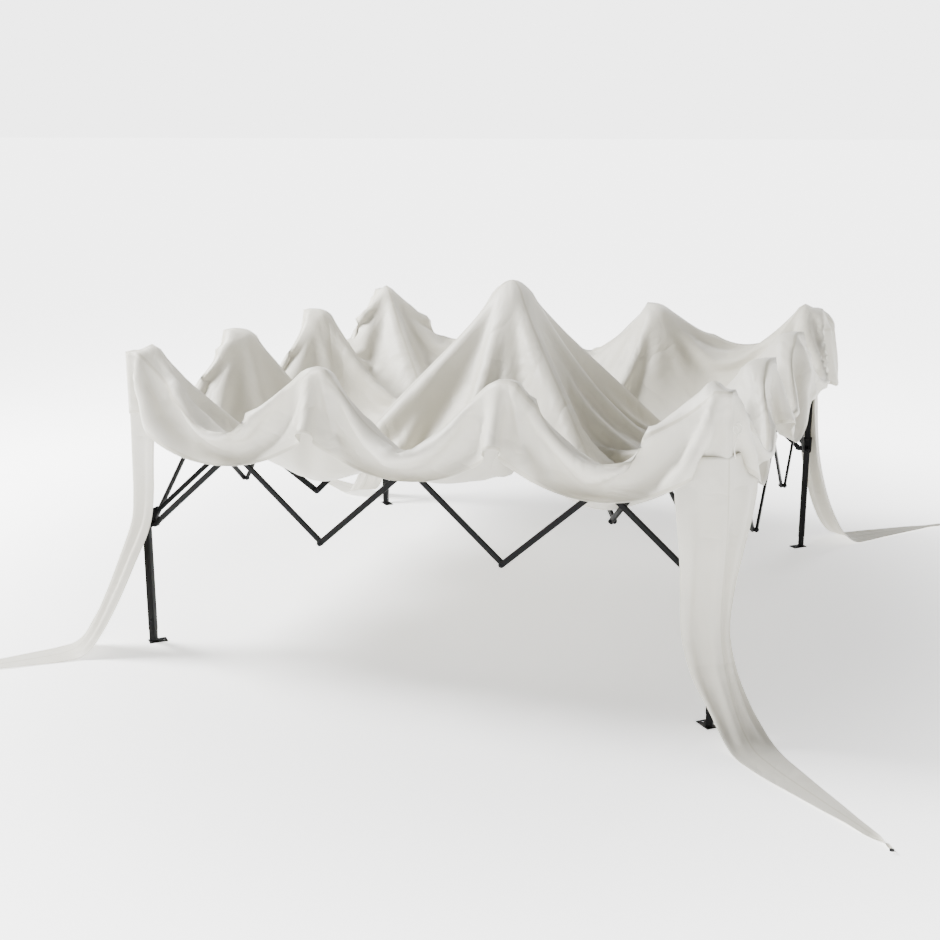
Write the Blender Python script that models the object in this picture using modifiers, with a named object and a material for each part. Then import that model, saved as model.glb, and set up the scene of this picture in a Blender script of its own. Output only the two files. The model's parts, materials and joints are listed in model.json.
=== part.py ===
"""Party tent: a pop-up folding gazebo frame, half open, with a loose cloth canopy and four long tails.

Lengths are in metres and +Z is up. The object is centred on the world origin and stands on z = 0.
The corners are named as seen from the front: front_left, front_right, back_right, back_left.
Each side runs counter-clockwise, from its own corner to the next one, and is built in its own frame:
x along the side, y towards the inside of the tent, z up. All four corners are then the same piece,
turned by a quarter turn each time.
"""

import math

import bmesh
import bpy
import numpy as np
from mathutils import Matrix, Vector

# The frame as it stands in the photo.
LEG_SPACING = 2.4
HALF = LEG_SPACING / 2
PAIRS_A_SIDE = 3
CORNER_PIVOT = 0.045
REST_ANGLE = math.radians(41.5)
BOTTOM_PIVOT_Z = 0.531
NODE_STEP = (LEG_SPACING - 2 * CORNER_PIVOT) / PAIRS_A_SIDE
BAR_LENGTH = NODE_STEP / math.cos(REST_ANGLE)
TOP_PIVOT_Z = BOTTOM_PIVOT_Z + BAR_LENGTH * math.sin(REST_ANGLE)

# Flat bars in two layers, one on each side of the plane that they fold in.
GAP = 0.0003
BAR_WIDTH = 0.024
RAFTER_WIDTH = 0.026
STRUT_WIDTH = 0.020
BAR_THICK = 0.011
LAYER_NEAR = 0.0025
LAYER_FAR = LAYER_NEAR + BAR_THICK
BOSS_RADIUS = 0.009
BOSS_REACH = LAYER_NEAR - GAP
BOSS_SINK = BAR_THICK * 0.4
LUG_RADIUS = BAR_WIDTH / 2

# The rafters, in the upright plane through a leg and the centre. Radii are from the leg towards the centre.
CENTRE_R = HALF * math.sqrt(2)
RAFTER_TOP_R = 0.056
RAFTER_TOP_RISE = 0.0166
RAFTER_TOP_Z = TOP_PIVOT_Z + RAFTER_TOP_RISE
KNEE_R = CENTRE_R * 0.43865
KNEE_DROP = 0.6224
KNEE_Z = TOP_PIVOT_Z - KNEE_DROP
HUB_RISE = 0.1657
HUB_Z = TOP_PIVOT_Z + HUB_RISE
HUB_PIVOT_R = 0.045
STRUT_ON_RAFTER = 0.5016
STRUT_LOW_R = 0.050
STRUT_LOW_RISE = 0.0512
STRUT_LOW_Z = BOTTOM_PIVOT_Z + STRUT_LOW_RISE

# Legs, feet, brackets and sliders.
LEG_SIDE = 0.030
LEG_WALL = 0.0012
LEG_BORE = LEG_SIDE - 2 * LEG_WALL
LEG_LOW_Z = 0.055
LEG_ABOVE_PIVOT = 0.0233
LEG_TOP_Z = TOP_PIVOT_Z + LEG_ABOVE_PIVOT
INNER_PLAY = 0.0006
INNER_SIDE = LEG_BORE - 2 * INNER_PLAY
INNER_WALL = 0.0017
INNER_BORE = INNER_SIDE - 2 * INNER_WALL
INNER_SHORTER = 0.185
INNER_TOP_Z = LEG_TOP_Z - INNER_SHORTER
FOOT_THICK = 0.004
FOOT_LENGTH = 0.078
FOOT_WIDTH = 0.046
FOOT_BACK = 0.021
FOOT_HOLE_R = 0.044
FOOT_HOLE_RADIUS = 0.006
CAP_WALL = 0.004
CAP_SIDE = LEG_SIDE + 2 * CAP_WALL
CAP_BELOW_PIVOT = 0.0267
CAP_TOP_THICK = 0.015
CAP_LOW_Z = TOP_PIVOT_Z - CAP_BELOW_PIVOT
CAP_TOP_Z = LEG_TOP_Z + CAP_TOP_THICK
HORN_RISE = 0.062
HORN_TOP_Z = TOP_PIVOT_Z + HORN_RISE
SLIDER_WALL = 0.0052
SLIDER_PLAY = 0.0008
SLIDER_BORE = LEG_SIDE + 2 * SLIDER_PLAY
SLIDER_SIDE = SLIDER_BORE + 2 * SLIDER_WALL
SLIDER_BELOW = 0.020
SLIDER_ABOVE = 0.055

# The hub under the centre peak.
HUB_RADIUS = 0.026
HUB_BELOW = 0.030
HUB_ABOVE = 0.030
HUB_DOME_RISE = 0.0917
HUB_DOME_Z = HUB_Z + HUB_DOME_RISE
HUB_DOME_INSET = 0.003
HUB_TIP_RADIUS = 0.004

# The canopy, as a height over a square grid whose lines run through the joints of the sides.
CLOTH_THICK = 0.004
CELLS_A_PAIR = 10
CLOTH_STEP = NODE_STEP / CELLS_A_PAIR
CLOTH_CELLS = PAIRS_A_SIDE * CELLS_A_PAIR + 2
CLOTH_EDGE = CLOTH_STEP * CLOTH_CELLS / 2
BELLY_DROP = 0.2272
BELLY_Z = TOP_PIVOT_Z - BELLY_DROP
PEAK_SPREAD = 0.5
CORNER_SPREAD = 0.27
NODE_SPREAD = 0.21
# The cloth lies on the hub's tip, so the peak follows from the tip and from the slope of the cloth around it.
PEAK_FALL = (1.0 - math.exp(-CLOTH_STEP / PEAK_SPREAD)) / CLOTH_STEP
TIP_SEAT_Z = HUB_DOME_Z + CLOTH_THICK / 2 + 2 * GAP
PEAK_Z = BELLY_Z + (TIP_SEAT_Z - BELLY_Z) / (1.0 - HUB_TIP_RADIUS * PEAK_FALL)
OVER_HORN = 0.0182
OVER_CAP = 0.0117
OVER_JOINTS = 0.0308
CORNER_IN_Z = HORN_TOP_Z + OVER_HORN
CORNER_OUT_Z = CAP_TOP_Z + OVER_CAP
NODE_Z = TOP_PIVOT_Z + OVER_JOINTS
OVER_BARS = 0.030
BESIDE_BARS = 0.032
HEM_DROP = 0.2122
HEM_HIGH_Z = TOP_PIVOT_Z - HEM_DROP
LOBE_DROP = 0.220
HEM_LOW_Z = HEM_HIGH_Z - LOBE_DROP
HEM_FLAT_NODE = 0.035
HEM_FLAT_CORNER = 0.09
VALANCE_ROWS = 3

# The four tails, as rows: how far outwards of the corner, share of the hem's height, half width, wing angle.
TAIL_THICK = 0.004
TAIL_FLOOR_Z = TAIL_THICK / 2 + GAP
TAIL_TOP_R = CLOTH_EDGE * math.sqrt(2)
TAIL_HANGING = (
    (0.0000, 1.0000, 0.125, 45.0),
    (0.0017, 0.8600, 0.105, 45.0),
    (0.0037, 0.7200, 0.092, 43.0),
    (0.0077, 0.5800, 0.084, 40.0),
    (0.0157, 0.4400, 0.080, 36.0),
    (0.0297, 0.3200, 0.080, 30.0),
    (0.0517, 0.2100, 0.084, 23.0),
    (0.0837, 0.1150, 0.092, 15.0),
    (0.1297, 0.0440, 0.098, 8.0),
    (0.1927, 0.0080, 0.098, 3.0),
)
TAIL_LYING = (
    (0.2777, 0.090),
    (0.3877, 0.076),
    (0.5277, 0.059),
    (0.6577, 0.043),
    (0.7777, 0.026),
    (0.8747, 0.011),
    (0.9557, 0.005),
)

CORNERS = ("front_left", "front_right", "back_right", "back_left")
SIDES = ("front", "right", "back", "left")
CORNER_AT = (
    (-HALF, -HALF),
    (HALF, -HALF),
    (HALF, HALF),
    (-HALF, HALF),
)


def clear_scene():
    """Removes whatever the new file starts with."""
    for thing in list(bpy.data.objects):
        bpy.data.objects.remove(thing, do_unlink=True)


def new_material(name, colour, metallic, roughness):
    """A plain Principled material. The colour is linear."""
    material = bpy.data.materials.new(name)
    material.use_nodes = True
    shader = material.node_tree.nodes["Principled BSDF"]
    shader.inputs["Base Color"].default_value = (*colour, 1.0)
    shader.inputs["Metallic"].default_value = metallic
    shader.inputs["Roughness"].default_value = roughness
    return material


def mesh_from(builder):
    """A mesh from a bmesh, with its faces turned outwards."""
    bmesh.ops.recalc_face_normals(builder, faces=builder.faces[:])
    mesh = bpy.data.meshes.new("shape")
    builder.to_mesh(mesh)
    builder.free()
    return mesh


def box(low, high):
    """A box between two corners."""
    builder = bmesh.new()
    bmesh.ops.create_cube(builder, size=1.0)
    low = Vector(low)
    high = Vector(high)
    size = high - low
    bmesh.ops.scale(builder, vec=size, verts=builder.verts[:])
    bmesh.ops.translate(builder, vec=(low + high) / 2, verts=builder.verts[:])
    return mesh_from(builder)


def plate(outline, near, far):
    """A plate with an outline in x and z, from y = near to y = far."""
    builder = bmesh.new()
    ring = [builder.verts.new((x, near, z)) for x, z in outline]
    face = builder.faces.new(ring)
    pulled = bmesh.ops.extrude_face_region(builder, geom=[face])
    moved = [item for item in pulled["geom"] if isinstance(item, bmesh.types.BMVert)]
    bmesh.ops.translate(builder, vec=(0.0, far - near, 0.0), verts=moved)
    return mesh_from(builder)


def rod(centre, radius, near, far, axis="Y", sides=12):
    """A round rod along one axis, between two heights on it."""
    builder = bmesh.new()
    bmesh.ops.create_cone(
        builder, cap_ends=True, segments=sides, radius1=radius, radius2=radius, depth=far - near
    )
    mesh = mesh_from(builder)
    middle = (near + far) / 2
    if axis == "Y":
        turn = Matrix.Rotation(math.radians(90.0), 4, "X")
        mesh.transform(Matrix.Translation((centre[0], middle, centre[1])) @ turn)
    else:
        mesh.transform(Matrix.Translation((centre[0], centre[1], middle)))
    return mesh


def stadium(start, end, radius, steps=6):
    """The outline of a bar with round ends, from x = start to x = end."""
    outline = []
    for step in range(steps + 1):
        angle = math.pi / 2 + math.pi * step / steps
        outline.append((start + radius * math.cos(angle), radius * math.sin(angle)))
    for step in range(steps + 1):
        angle = -math.pi / 2 + math.pi * step / steps
        outline.append((end + radius * math.cos(angle), radius * math.sin(angle)))
    return outline


def joined(name, added, taken=()):
    """One mesh: the first of the added shapes, with the others joined to it and then the taken ones cut out."""
    host = bpy.data.objects.new(name, added[0])
    bpy.context.scene.collection.objects.link(host)
    helpers = []
    for meshes, operation in ((added[1:], "UNION"), (taken, "DIFFERENCE")):
        for mesh in meshes:
            helper = bpy.data.objects.new(name + "_helper", mesh)
            bpy.context.scene.collection.objects.link(helper)
            helpers.append(helper)
            modifier = host.modifiers.new(operation.title(), "BOOLEAN")
            modifier.operation = operation
            modifier.solver = "EXACT"
            modifier.object = helper
    bpy.context.view_layer.update()
    graph = bpy.context.evaluated_depsgraph_get()
    result = bpy.data.meshes.new_from_object(host.evaluated_get(graph))
    result.name = name
    for thing in [host, *helpers]:
        bpy.data.objects.remove(thing, do_unlink=True)
    return result


def turned(mesh, degrees):
    """The mesh, turned about the upright axis."""
    mesh.transform(Matrix.Rotation(math.radians(degrees), 4, "Z"))
    return mesh


def place(name, mesh, world, material, origin=None):
    """Adds a piece. With an origin, the piece stays where it is and its own origin moves to that point."""
    if origin is not None:
        moved = world.copy()
        moved.translation = Vector(origin)
        mesh = mesh.copy()
        mesh.transform(moved.inverted() @ world)
        world = moved
    mesh.name = name if mesh.users == 0 else mesh.name
    if not mesh.materials:
        mesh.materials.append(material)
    piece = bpy.data.objects.new(name, mesh)
    piece.matrix_world = world
    bpy.data.collections["party_tent"].objects.link(piece)
    return piece


def side_frame(index):
    """The frame of a side: its start corner at floor height, x along the side, y inwards."""
    x, y = CORNER_AT[index]
    return Matrix.Translation((x, y, 0.0)) @ Matrix.Rotation(math.radians(90.0 * index), 4, "Z")


def diagonal_frame(index):
    """The frame of a rafter plane: its leg at floor height, x towards the centre."""
    return side_frame(index) @ Matrix.Rotation(math.radians(45.0), 4, "Z")


def down_bar_mesh():
    """A side bar that runs downwards along its side, with the spacers that it turns on."""
    shapes = [plate(stadium(0.0, BAR_LENGTH, BAR_WIDTH / 2), LAYER_NEAR, LAYER_FAR)]
    for along in (0.0, BAR_LENGTH / 2, BAR_LENGTH):
        shapes.append(rod((along, 0.0), BOSS_RADIUS, -BOSS_REACH, LAYER_NEAR + BOSS_SINK))
    return joined("down_bar", shapes)


def up_bar_mesh():
    """A side bar that runs upwards along its side. Its origin is at its middle."""
    half = BAR_LENGTH / 2
    return plate(stadium(-half, half, BAR_WIDTH / 2), -LAYER_FAR, -LAYER_NEAR)


def leg_mesh():
    """The outer tube of a leg."""
    half = LEG_SIDE / 2
    bore = LEG_BORE / 2
    tube = box((-half, -half, LEG_LOW_Z), (half, half, LEG_TOP_Z))
    hole = box((-bore, -bore, LEG_LOW_Z - bore), (bore, bore, LEG_TOP_Z + bore))
    return joined("leg", [tube], [hole])


def foot_mesh():
    """The inner tube of a leg with its foot plate, which points to the centre and has a peg hole."""
    half = INNER_SIDE / 2
    bore = INNER_BORE / 2
    tube = box((-half, -half, FOOT_THICK / 2), (half, half, INNER_TOP_Z))
    low = (-FOOT_BACK, -FOOT_WIDTH / 2, 0.0)
    high = (FOOT_LENGTH - FOOT_BACK, FOOT_WIDTH / 2, FOOT_THICK)
    sole = turned(box(low, high), 45.0)
    hole = box((-bore, -bore, FOOT_THICK * 1.25), (bore, bore, INNER_TOP_Z + bore))
    peg = turned(rod((FOOT_HOLE_R, 0.0), FOOT_HOLE_RADIUS, -FOOT_THICK, 2 * FOOT_THICK, axis="Z"), 45.0)
    return joined("foot", [tube, sole], [hole, peg])


def lug(start, pivot_r, pivot_z, near, far, low=None, high=None):
    """A lug from inside the sleeve's wall out to a pivot, with a round end."""
    low = pivot_z - LUG_RADIUS if low is None else low
    high = pivot_z + LUG_RADIUS if high is None else high
    outline = [(start, high), (start, low)]
    for step in range(7):
        angle = -math.pi / 2 + math.pi * step / 6
        outline.append((pivot_r + LUG_RADIUS * math.cos(angle), pivot_z + LUG_RADIUS * math.sin(angle)))
    return plate(outline, near, far)


def top_bracket_mesh():
    """The cap on a leg, with the lugs of both sides and of the rafter."""
    half = CAP_SIDE / 2
    hole_half = LEG_SIDE / 2 + GAP
    cap = box((-half, -half, CAP_LOW_Z), (half, half, CAP_TOP_Z))
    hole = box((-hole_half, -hole_half, CAP_LOW_Z - CAP_WALL), (hole_half, hole_half, LEG_TOP_Z + GAP))
    start = half - CAP_WALL / 2
    going = lug(start, CORNER_PIVOT, TOP_PIVOT_Z, -LAYER_FAR, -LAYER_NEAR)
    # The side that ends here comes along local y, and its layers lie the other way round.
    coming = turned(lug(start, CORNER_PIVOT, TOP_PIVOT_Z, -LAYER_FAR, BOSS_REACH), 90.0)
    round_end = RAFTER_WIDTH / 2
    # The horn that the cloth rests on stands over the crossing of the two sides' pivots.
    peak_r = CORNER_PIVOT * math.sqrt(2)
    horn = [
        (start, CAP_TOP_Z - CAP_WALL),
        (start, TOP_PIVOT_Z - round_end / 2),
        (RAFTER_TOP_R - round_end / 2, RAFTER_TOP_Z - round_end),
        (RAFTER_TOP_R + round_end / 2, RAFTER_TOP_Z - round_end * 0.8),
        (RAFTER_TOP_R + round_end, RAFTER_TOP_Z - round_end * 0.2),
        (peak_r + round_end * 0.9, HORN_TOP_Z - round_end),
        (peak_r + round_end * 0.4, HORN_TOP_Z),
        (peak_r - round_end * 0.35, HORN_TOP_Z),
        (peak_r - round_end * 1.1, HORN_TOP_Z - round_end * 0.8),
    ]
    diagonal = turned(plate(horn, -LAYER_FAR, -LAYER_NEAR), 45.0)
    return joined("top_bracket", [cap, going, coming, diagonal], [hole])


def slider_mesh():
    """The collar that slides on a leg, with the lugs of both sides and of the strut."""
    half = SLIDER_SIDE / 2
    bore = SLIDER_BORE / 2
    low = BOTTOM_PIVOT_Z - SLIDER_BELOW
    high = BOTTOM_PIVOT_Z + SLIDER_ABOVE
    collar = box((-half, -half, low), (half, half, high))
    hole = box((-bore, -bore, low - bore), (bore, bore, high + bore))
    start = half - SLIDER_WALL / 2
    going = lug(start, CORNER_PIVOT, BOTTOM_PIVOT_Z, -BOSS_REACH, LAYER_FAR)
    coming = turned(lug(start, CORNER_PIVOT, BOTTOM_PIVOT_Z, LAYER_NEAR, LAYER_FAR), 90.0)
    arm_low = STRUT_LOW_Z - SLIDER_ABOVE * 0.9
    arm = lug(start, STRUT_LOW_R, STRUT_LOW_Z, -BOSS_REACH, LAYER_FAR, arm_low, high - SLIDER_WALL / 2)
    return joined("slider", [collar, going, coming, turned(arm, 45.0)], [hole])


def rafter_sizes():
    """Lengths and rest angles of the outer rafter, the inner rafter and the strut."""
    outer_run = KNEE_R - RAFTER_TOP_R
    outer_drop = RAFTER_TOP_Z - KNEE_Z
    inner_run = CENTRE_R - HUB_PIVOT_R - KNEE_R
    inner_rise = HUB_Z - KNEE_Z
    outer_angle = math.atan2(outer_drop, outer_run)
    tip_r = RAFTER_TOP_R + STRUT_ON_RAFTER * math.cos(outer_angle)
    tip_z = RAFTER_TOP_Z - STRUT_ON_RAFTER * math.sin(outer_angle)
    strut = (tip_r - STRUT_LOW_R, tip_z - STRUT_LOW_Z)
    return {
        "outer": (math.hypot(outer_run, outer_drop), outer_angle),
        "inner": (math.hypot(inner_run, inner_rise), math.atan2(inner_rise, inner_run)),
        "strut": (math.hypot(*strut), math.atan2(strut[1], strut[0])),
    }


def outer_rafter_mesh(length):
    """The rafter between a top bracket and the knee, with its three spacers."""
    shapes = [plate(stadium(0.0, length, RAFTER_WIDTH / 2), LAYER_NEAR, LAYER_FAR)]
    for along in (0.0, STRUT_ON_RAFTER, length):
        shapes.append(rod((along, 0.0), BOSS_RADIUS, -BOSS_REACH, LAYER_NEAR + BOSS_SINK))
    return joined("rafter_outer", shapes)


def plain_rafter_mesh(length, width):
    """The rafter between the knee and the hub, or the narrower strut under the outer rafter."""
    return plate(stadium(0.0, length, width / 2), -LAYER_FAR, -LAYER_NEAR)


def hub_mesh():
    """The hub: a round core with a low dome and four lugs, around its own centre."""
    core = rod((0.0, 0.0), HUB_RADIUS, HUB_Z - HUB_BELOW, HUB_Z + HUB_ABOVE, axis="Z", sides=20)
    builder = bmesh.new()
    dome_height = HUB_DOME_Z - HUB_Z - HUB_ABOVE + HUB_DOME_INSET
    low_radius = HUB_RADIUS - HUB_DOME_INSET
    bmesh.ops.create_cone(
        builder, cap_ends=True, segments=20, radius1=low_radius, radius2=HUB_TIP_RADIUS, depth=dome_height
    )
    dome = mesh_from(builder)
    dome.transform(Matrix.Translation((0.0, 0.0, HUB_DOME_Z - dome_height / 2)))
    lugs = []
    for index in range(4):
        # In a rafter plane the hub lies on the far side, so its lug points back along the diagonal.
        arm = lug(HUB_RADIUS * 0.7, HUB_PIVOT_R, HUB_Z, -LAYER_FAR, BOSS_REACH)
        lugs.append(turned(arm, 225.0 + 90.0 * index))
    return joined("hub", [core, dome, *lugs])


def roof_height(x, y):
    """Height of the canopy over a point: the highest of the belly, the peaks and the bars under it."""
    ax = abs(x)
    ay = abs(y)
    centre = math.hypot(x, y)
    height = BELLY_Z + (PEAK_Z - BELLY_Z) * math.exp(-centre / PEAK_SPREAD)
    corner_in = HALF - CORNER_PIVOT
    reach = math.hypot(ax - corner_in, ay - corner_in)
    peak = CORNER_OUT_Z if min(ax, ay) > corner_in + CLOTH_STEP / 2 else CORNER_IN_Z
    height = max(height, BELLY_Z + (peak - BELLY_Z) * math.exp(-reach / CORNER_SPREAD))
    # The ridge over the outer rafter, which falls off to both sides of the diagonal.
    along = (2 * HALF - ax - ay) / math.sqrt(2)
    off = abs(ax - ay) / math.sqrt(2)
    slope = (RAFTER_TOP_Z - KNEE_Z) / (KNEE_R - RAFTER_TOP_R)
    height = max(height, RAFTER_TOP_Z + OVER_BARS - slope * (along - RAFTER_TOP_R) - 0.9 * off)
    fall = math.tan(REST_ANGLE)
    for across, out in ((ax, ay), (ay, ax)):
        inward = abs(out - HALF)
        beside = 1.3 * max(0.0, inward - BESIDE_BARS)
        for node in (NODE_STEP / 2, corner_in):
            run = abs(across - node)
            height = max(height, TOP_PIVOT_Z + OVER_BARS - fall * run - beside)
        spread = math.exp(-math.hypot(across - NODE_STEP / 2, inward) / NODE_SPREAD)
        height = max(height, BELLY_Z + (NODE_Z - BELLY_Z) * spread)
    return height


def hem_height(along):
    """Height of the hem at a place along a side: high at the corners and the joints, low between them."""
    corner = HALF - CORNER_PIVOT
    points = (-corner, -NODE_STEP / 2, NODE_STEP / 2, corner)
    near = min(abs(along - point) for point in points)
    flat = HEM_FLAT_NODE if abs(along) < NODE_STEP else HEM_FLAT_CORNER
    lobe = min(1.0, max(0.0, near - flat) / (NODE_STEP / 2 - flat))
    return HEM_HIGH_Z - (HEM_HIGH_Z - HEM_LOW_Z) * math.sin(lobe * math.pi / 2) ** 1.4


def canopy_mesh():
    """The roof grid with a valance hanging from its edge, as a surface without thickness."""
    count = CLOTH_CELLS + 1
    lines = np.linspace(-CLOTH_EDGE, CLOTH_EDGE, count)
    builder = bmesh.new()
    roof = [[builder.verts.new((x, y, roof_height(x, y))) for x in lines] for y in lines]
    for row in range(CLOTH_CELLS):
        for column in range(CLOTH_CELLS):
            corners = [roof[row][column], roof[row][column + 1], roof[row + 1][column + 1], roof[row + 1][column]]
            # Each quad is split towards the centre of the tent, so that the ridges over the rafters stay sharp.
            if (row < CLOTH_CELLS / 2) == (column < CLOTH_CELLS / 2):
                builder.faces.new((corners[0], corners[1], corners[2]))
                builder.faces.new((corners[0], corners[2], corners[3]))
            else:
                builder.faces.new((corners[1], corners[2], corners[3]))
                builder.faces.new((corners[1], corners[3], corners[0]))
    last = CLOTH_CELLS
    rim = [roof[0][i] for i in range(last)]
    rim += [roof[i][last] for i in range(last)]
    rim += [roof[last][last - i] for i in range(last)]
    rim += [roof[last - i][0] for i in range(last)]
    rings = [rim]
    for level in range(1, VALANCE_ROWS + 1):
        ring = []
        for top in rim:
            along = top.co.x if abs(abs(top.co.y) - CLOTH_EDGE) < 1e-6 else top.co.y
            low = hem_height(along)
            share = level / VALANCE_ROWS
            ring.append(builder.verts.new((top.co.x, top.co.y, top.co.z + share * (low - top.co.z))))
        rings.append(ring)
    for upper, lower in zip(rings, rings[1:]):
        for index, top in enumerate(upper):
            after = (index + 1) % len(upper)
            builder.faces.new((top, lower[index], lower[after], upper[after]))
    return mesh_from(builder)


def tail_rows():
    """The tail's rows from the hem to the tip: radius from the centre, height, half width, wing angle."""
    rows = []
    for out, share, half, wing in TAIL_HANGING:
        rows.append((TAIL_TOP_R + out, share * (HEM_HIGH_Z - GAP), half, wing))
    for out, half in TAIL_LYING:
        rows.append((TAIL_TOP_R + out, TAIL_FLOOR_Z, half, 0.0))
    return rows


def tail_mesh(index):
    """One tail: an angle of cloth under its corner that flattens out on the floor and tapers to its tip."""
    x, y = CORNER_AT[index]
    out = Vector((x, y, 0.0)).normalized()
    across = Vector((-out.y, out.x, 0.0))
    builder = bmesh.new()
    rows = []
    for radius, height, half, wing in tail_rows():
        inward = math.sin(math.radians(wing))
        sideways = math.cos(math.radians(wing))
        row = []
        for share in (-1.0, -0.5, 0.0, 0.5, 1.0):
            point = out * (radius - abs(share) * half * inward) + across * (share * half * sideways)
            row.append(builder.verts.new((point.x, point.y, height)))
        rows.append(row)
    for upper, lower in zip(rows, rows[1:]):
        for column in range(4):
            builder.faces.new((upper[column], upper[column + 1], lower[column + 1], lower[column]))
    return mesh_from(builder)


def thicken(piece, thickness, offset):
    """Gives a surface its thickness."""
    modifier = piece.modifiers.new("Thickness", "SOLIDIFY")
    modifier.thickness = thickness
    modifier.offset = offset
    modifier.use_even_offset = False


def main():
    clear_scene()
    home = bpy.data.collections.new("party_tent")
    bpy.context.scene.collection.children.link(home)
    black_paint = new_material("black_powder_coat", (0.012, 0.012, 0.013), 0.0, 0.45)
    black_plastic = new_material("black_plastic", (0.010, 0.010, 0.011), 0.0, 0.60)
    cloth = new_material("white_polyester", (0.86, 0.85, 0.80), 0.0, 0.70)

    down = down_bar_mesh()
    up = up_bar_mesh()
    leg = leg_mesh()
    foot = foot_mesh()
    bracket = top_bracket_mesh()
    slider = slider_mesh()
    sizes = rafter_sizes()
    outer = outer_rafter_mesh(sizes["outer"][0])
    inner = plain_rafter_mesh(sizes["inner"][0], RAFTER_WIDTH)
    strut = plain_rafter_mesh(sizes["strut"][0], STRUT_WIDTH)

    for index, side in enumerate(SIDES):
        frame = side_frame(index)
        for pair in range(PAIRS_A_SIDE):
            start = CORNER_PIVOT + pair * NODE_STEP
            fall = frame @ Matrix.Translation((start, 0.0, TOP_PIVOT_Z))
            place(f"{side}_bar_down_{pair + 1}", down, fall @ Matrix.Rotation(REST_ANGLE, 4, "Y"), black_paint)
            middle = (TOP_PIVOT_Z + BOTTOM_PIVOT_Z) / 2
            rise = frame @ Matrix.Translation((start + NODE_STEP / 2, 0.0, middle))
            place(f"{side}_bar_up_{pair + 1}", up, rise @ Matrix.Rotation(-REST_ANGLE, 4, "Y"), black_paint)

    for index, corner in enumerate(CORNERS):
        frame = side_frame(index)
        diagonal = diagonal_frame(index)
        # The corner pieces turn on the top joint that carries them in the record.
        carried_by = (CORNER_PIVOT, 0.0, TOP_PIVOT_Z) if index in (0, 3) else (0.0, CORNER_PIVOT, TOP_PIVOT_Z)
        top_joint = frame @ Vector(carried_by)
        place(f"leg_{corner}", leg, frame, black_paint, top_joint)
        place(f"top_bracket_{corner}", bracket, frame, black_plastic, top_joint)
        place(f"foot_{corner}", foot, frame, black_paint)
        low_joint = frame @ Vector((CORNER_PIVOT, 0.0, BOTTOM_PIVOT_Z))
        place(f"slider_{corner}", slider, frame, black_plastic, low_joint)
        top = diagonal @ Matrix.Translation((RAFTER_TOP_R, 0.0, RAFTER_TOP_Z))
        place(f"rafter_outer_{corner}", outer, top @ Matrix.Rotation(sizes["outer"][1], 4, "Y"), black_paint)
        knee = diagonal @ Matrix.Translation((KNEE_R, 0.0, KNEE_Z))
        place(f"rafter_inner_{corner}", inner, knee @ Matrix.Rotation(-sizes["inner"][1], 4, "Y"), black_paint)
        low = diagonal @ Matrix.Translation((STRUT_LOW_R, 0.0, STRUT_LOW_Z))
        place(f"rafter_strut_{corner}", strut, low @ Matrix.Rotation(-sizes["strut"][1], 4, "Y"), black_paint)
        tail = place(f"tail_{corner}", tail_mesh(index), Matrix.Identity(4), cloth, top_joint)
        thicken(tail, TAIL_THICK, 0.0)

    hub_joint = diagonal_frame(0) @ Vector((CENTRE_R - HUB_PIVOT_R, 0.0, HUB_Z))
    place("hub", hub_mesh(), Matrix.Identity(4), black_plastic, hub_joint)
    canopy = place("canopy", canopy_mesh(), Matrix.Identity(4), cloth)
    thicken(canopy, CLOTH_THICK, 0.0)


main()
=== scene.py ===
"""Party tent, half open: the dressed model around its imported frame.

A pop-up folding frame of black powder-coated steel stands half open on its four retracted legs. A slack ivory
polyester canopy hangs over it in soft peaks, and a long tapered tail of the same cloth comes down from each
corner and lies outwards on the floor.

Lengths are in metres, +Z is up, and every piece is made where it stands, with its object at the origin.
"""

import json
import logging
import math
from dataclasses import dataclass
from enum import Enum

import bmesh
import bpy
import numpy as np
from mathutils import Matrix, Vector

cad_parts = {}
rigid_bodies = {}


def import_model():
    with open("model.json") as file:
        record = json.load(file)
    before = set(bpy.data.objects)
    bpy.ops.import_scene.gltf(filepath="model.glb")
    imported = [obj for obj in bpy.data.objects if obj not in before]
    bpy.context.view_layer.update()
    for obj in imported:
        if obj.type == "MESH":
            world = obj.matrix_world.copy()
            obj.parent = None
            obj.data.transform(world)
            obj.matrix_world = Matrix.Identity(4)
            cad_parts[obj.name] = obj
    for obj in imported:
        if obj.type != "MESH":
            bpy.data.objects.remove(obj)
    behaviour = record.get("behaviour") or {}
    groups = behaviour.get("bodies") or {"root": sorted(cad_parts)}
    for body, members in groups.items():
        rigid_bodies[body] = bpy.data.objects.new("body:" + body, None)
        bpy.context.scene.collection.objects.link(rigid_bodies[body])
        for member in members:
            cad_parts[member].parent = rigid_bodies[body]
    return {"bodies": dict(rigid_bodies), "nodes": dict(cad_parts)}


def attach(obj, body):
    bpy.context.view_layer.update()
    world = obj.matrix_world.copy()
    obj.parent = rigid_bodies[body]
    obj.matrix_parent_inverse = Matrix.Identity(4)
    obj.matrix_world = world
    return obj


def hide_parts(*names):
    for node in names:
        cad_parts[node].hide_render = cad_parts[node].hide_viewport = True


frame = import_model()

logging.basicConfig(level=logging.INFO, format="%(message)s")
LOG = logging.getLogger("party_tent")

Array = np.ndarray
Socket = bpy.types.NodeSocket

CORNERS = ("front_left", "front_right", "back_right", "back_left")
CORNER_SIGNS = ((-1, -1), (1, -1), (1, 1), (-1, 1))
SIDES = ("front", "right", "back", "left")

# Points nearer to each other than this are one point, and edges sharper than this many degrees stay sharp.
WELD = 2e-6
SHARP_EDGE = 38.0


# ---------------------------------------------------------------------------------------------------------------
# Sizes that the frame was built from


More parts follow.
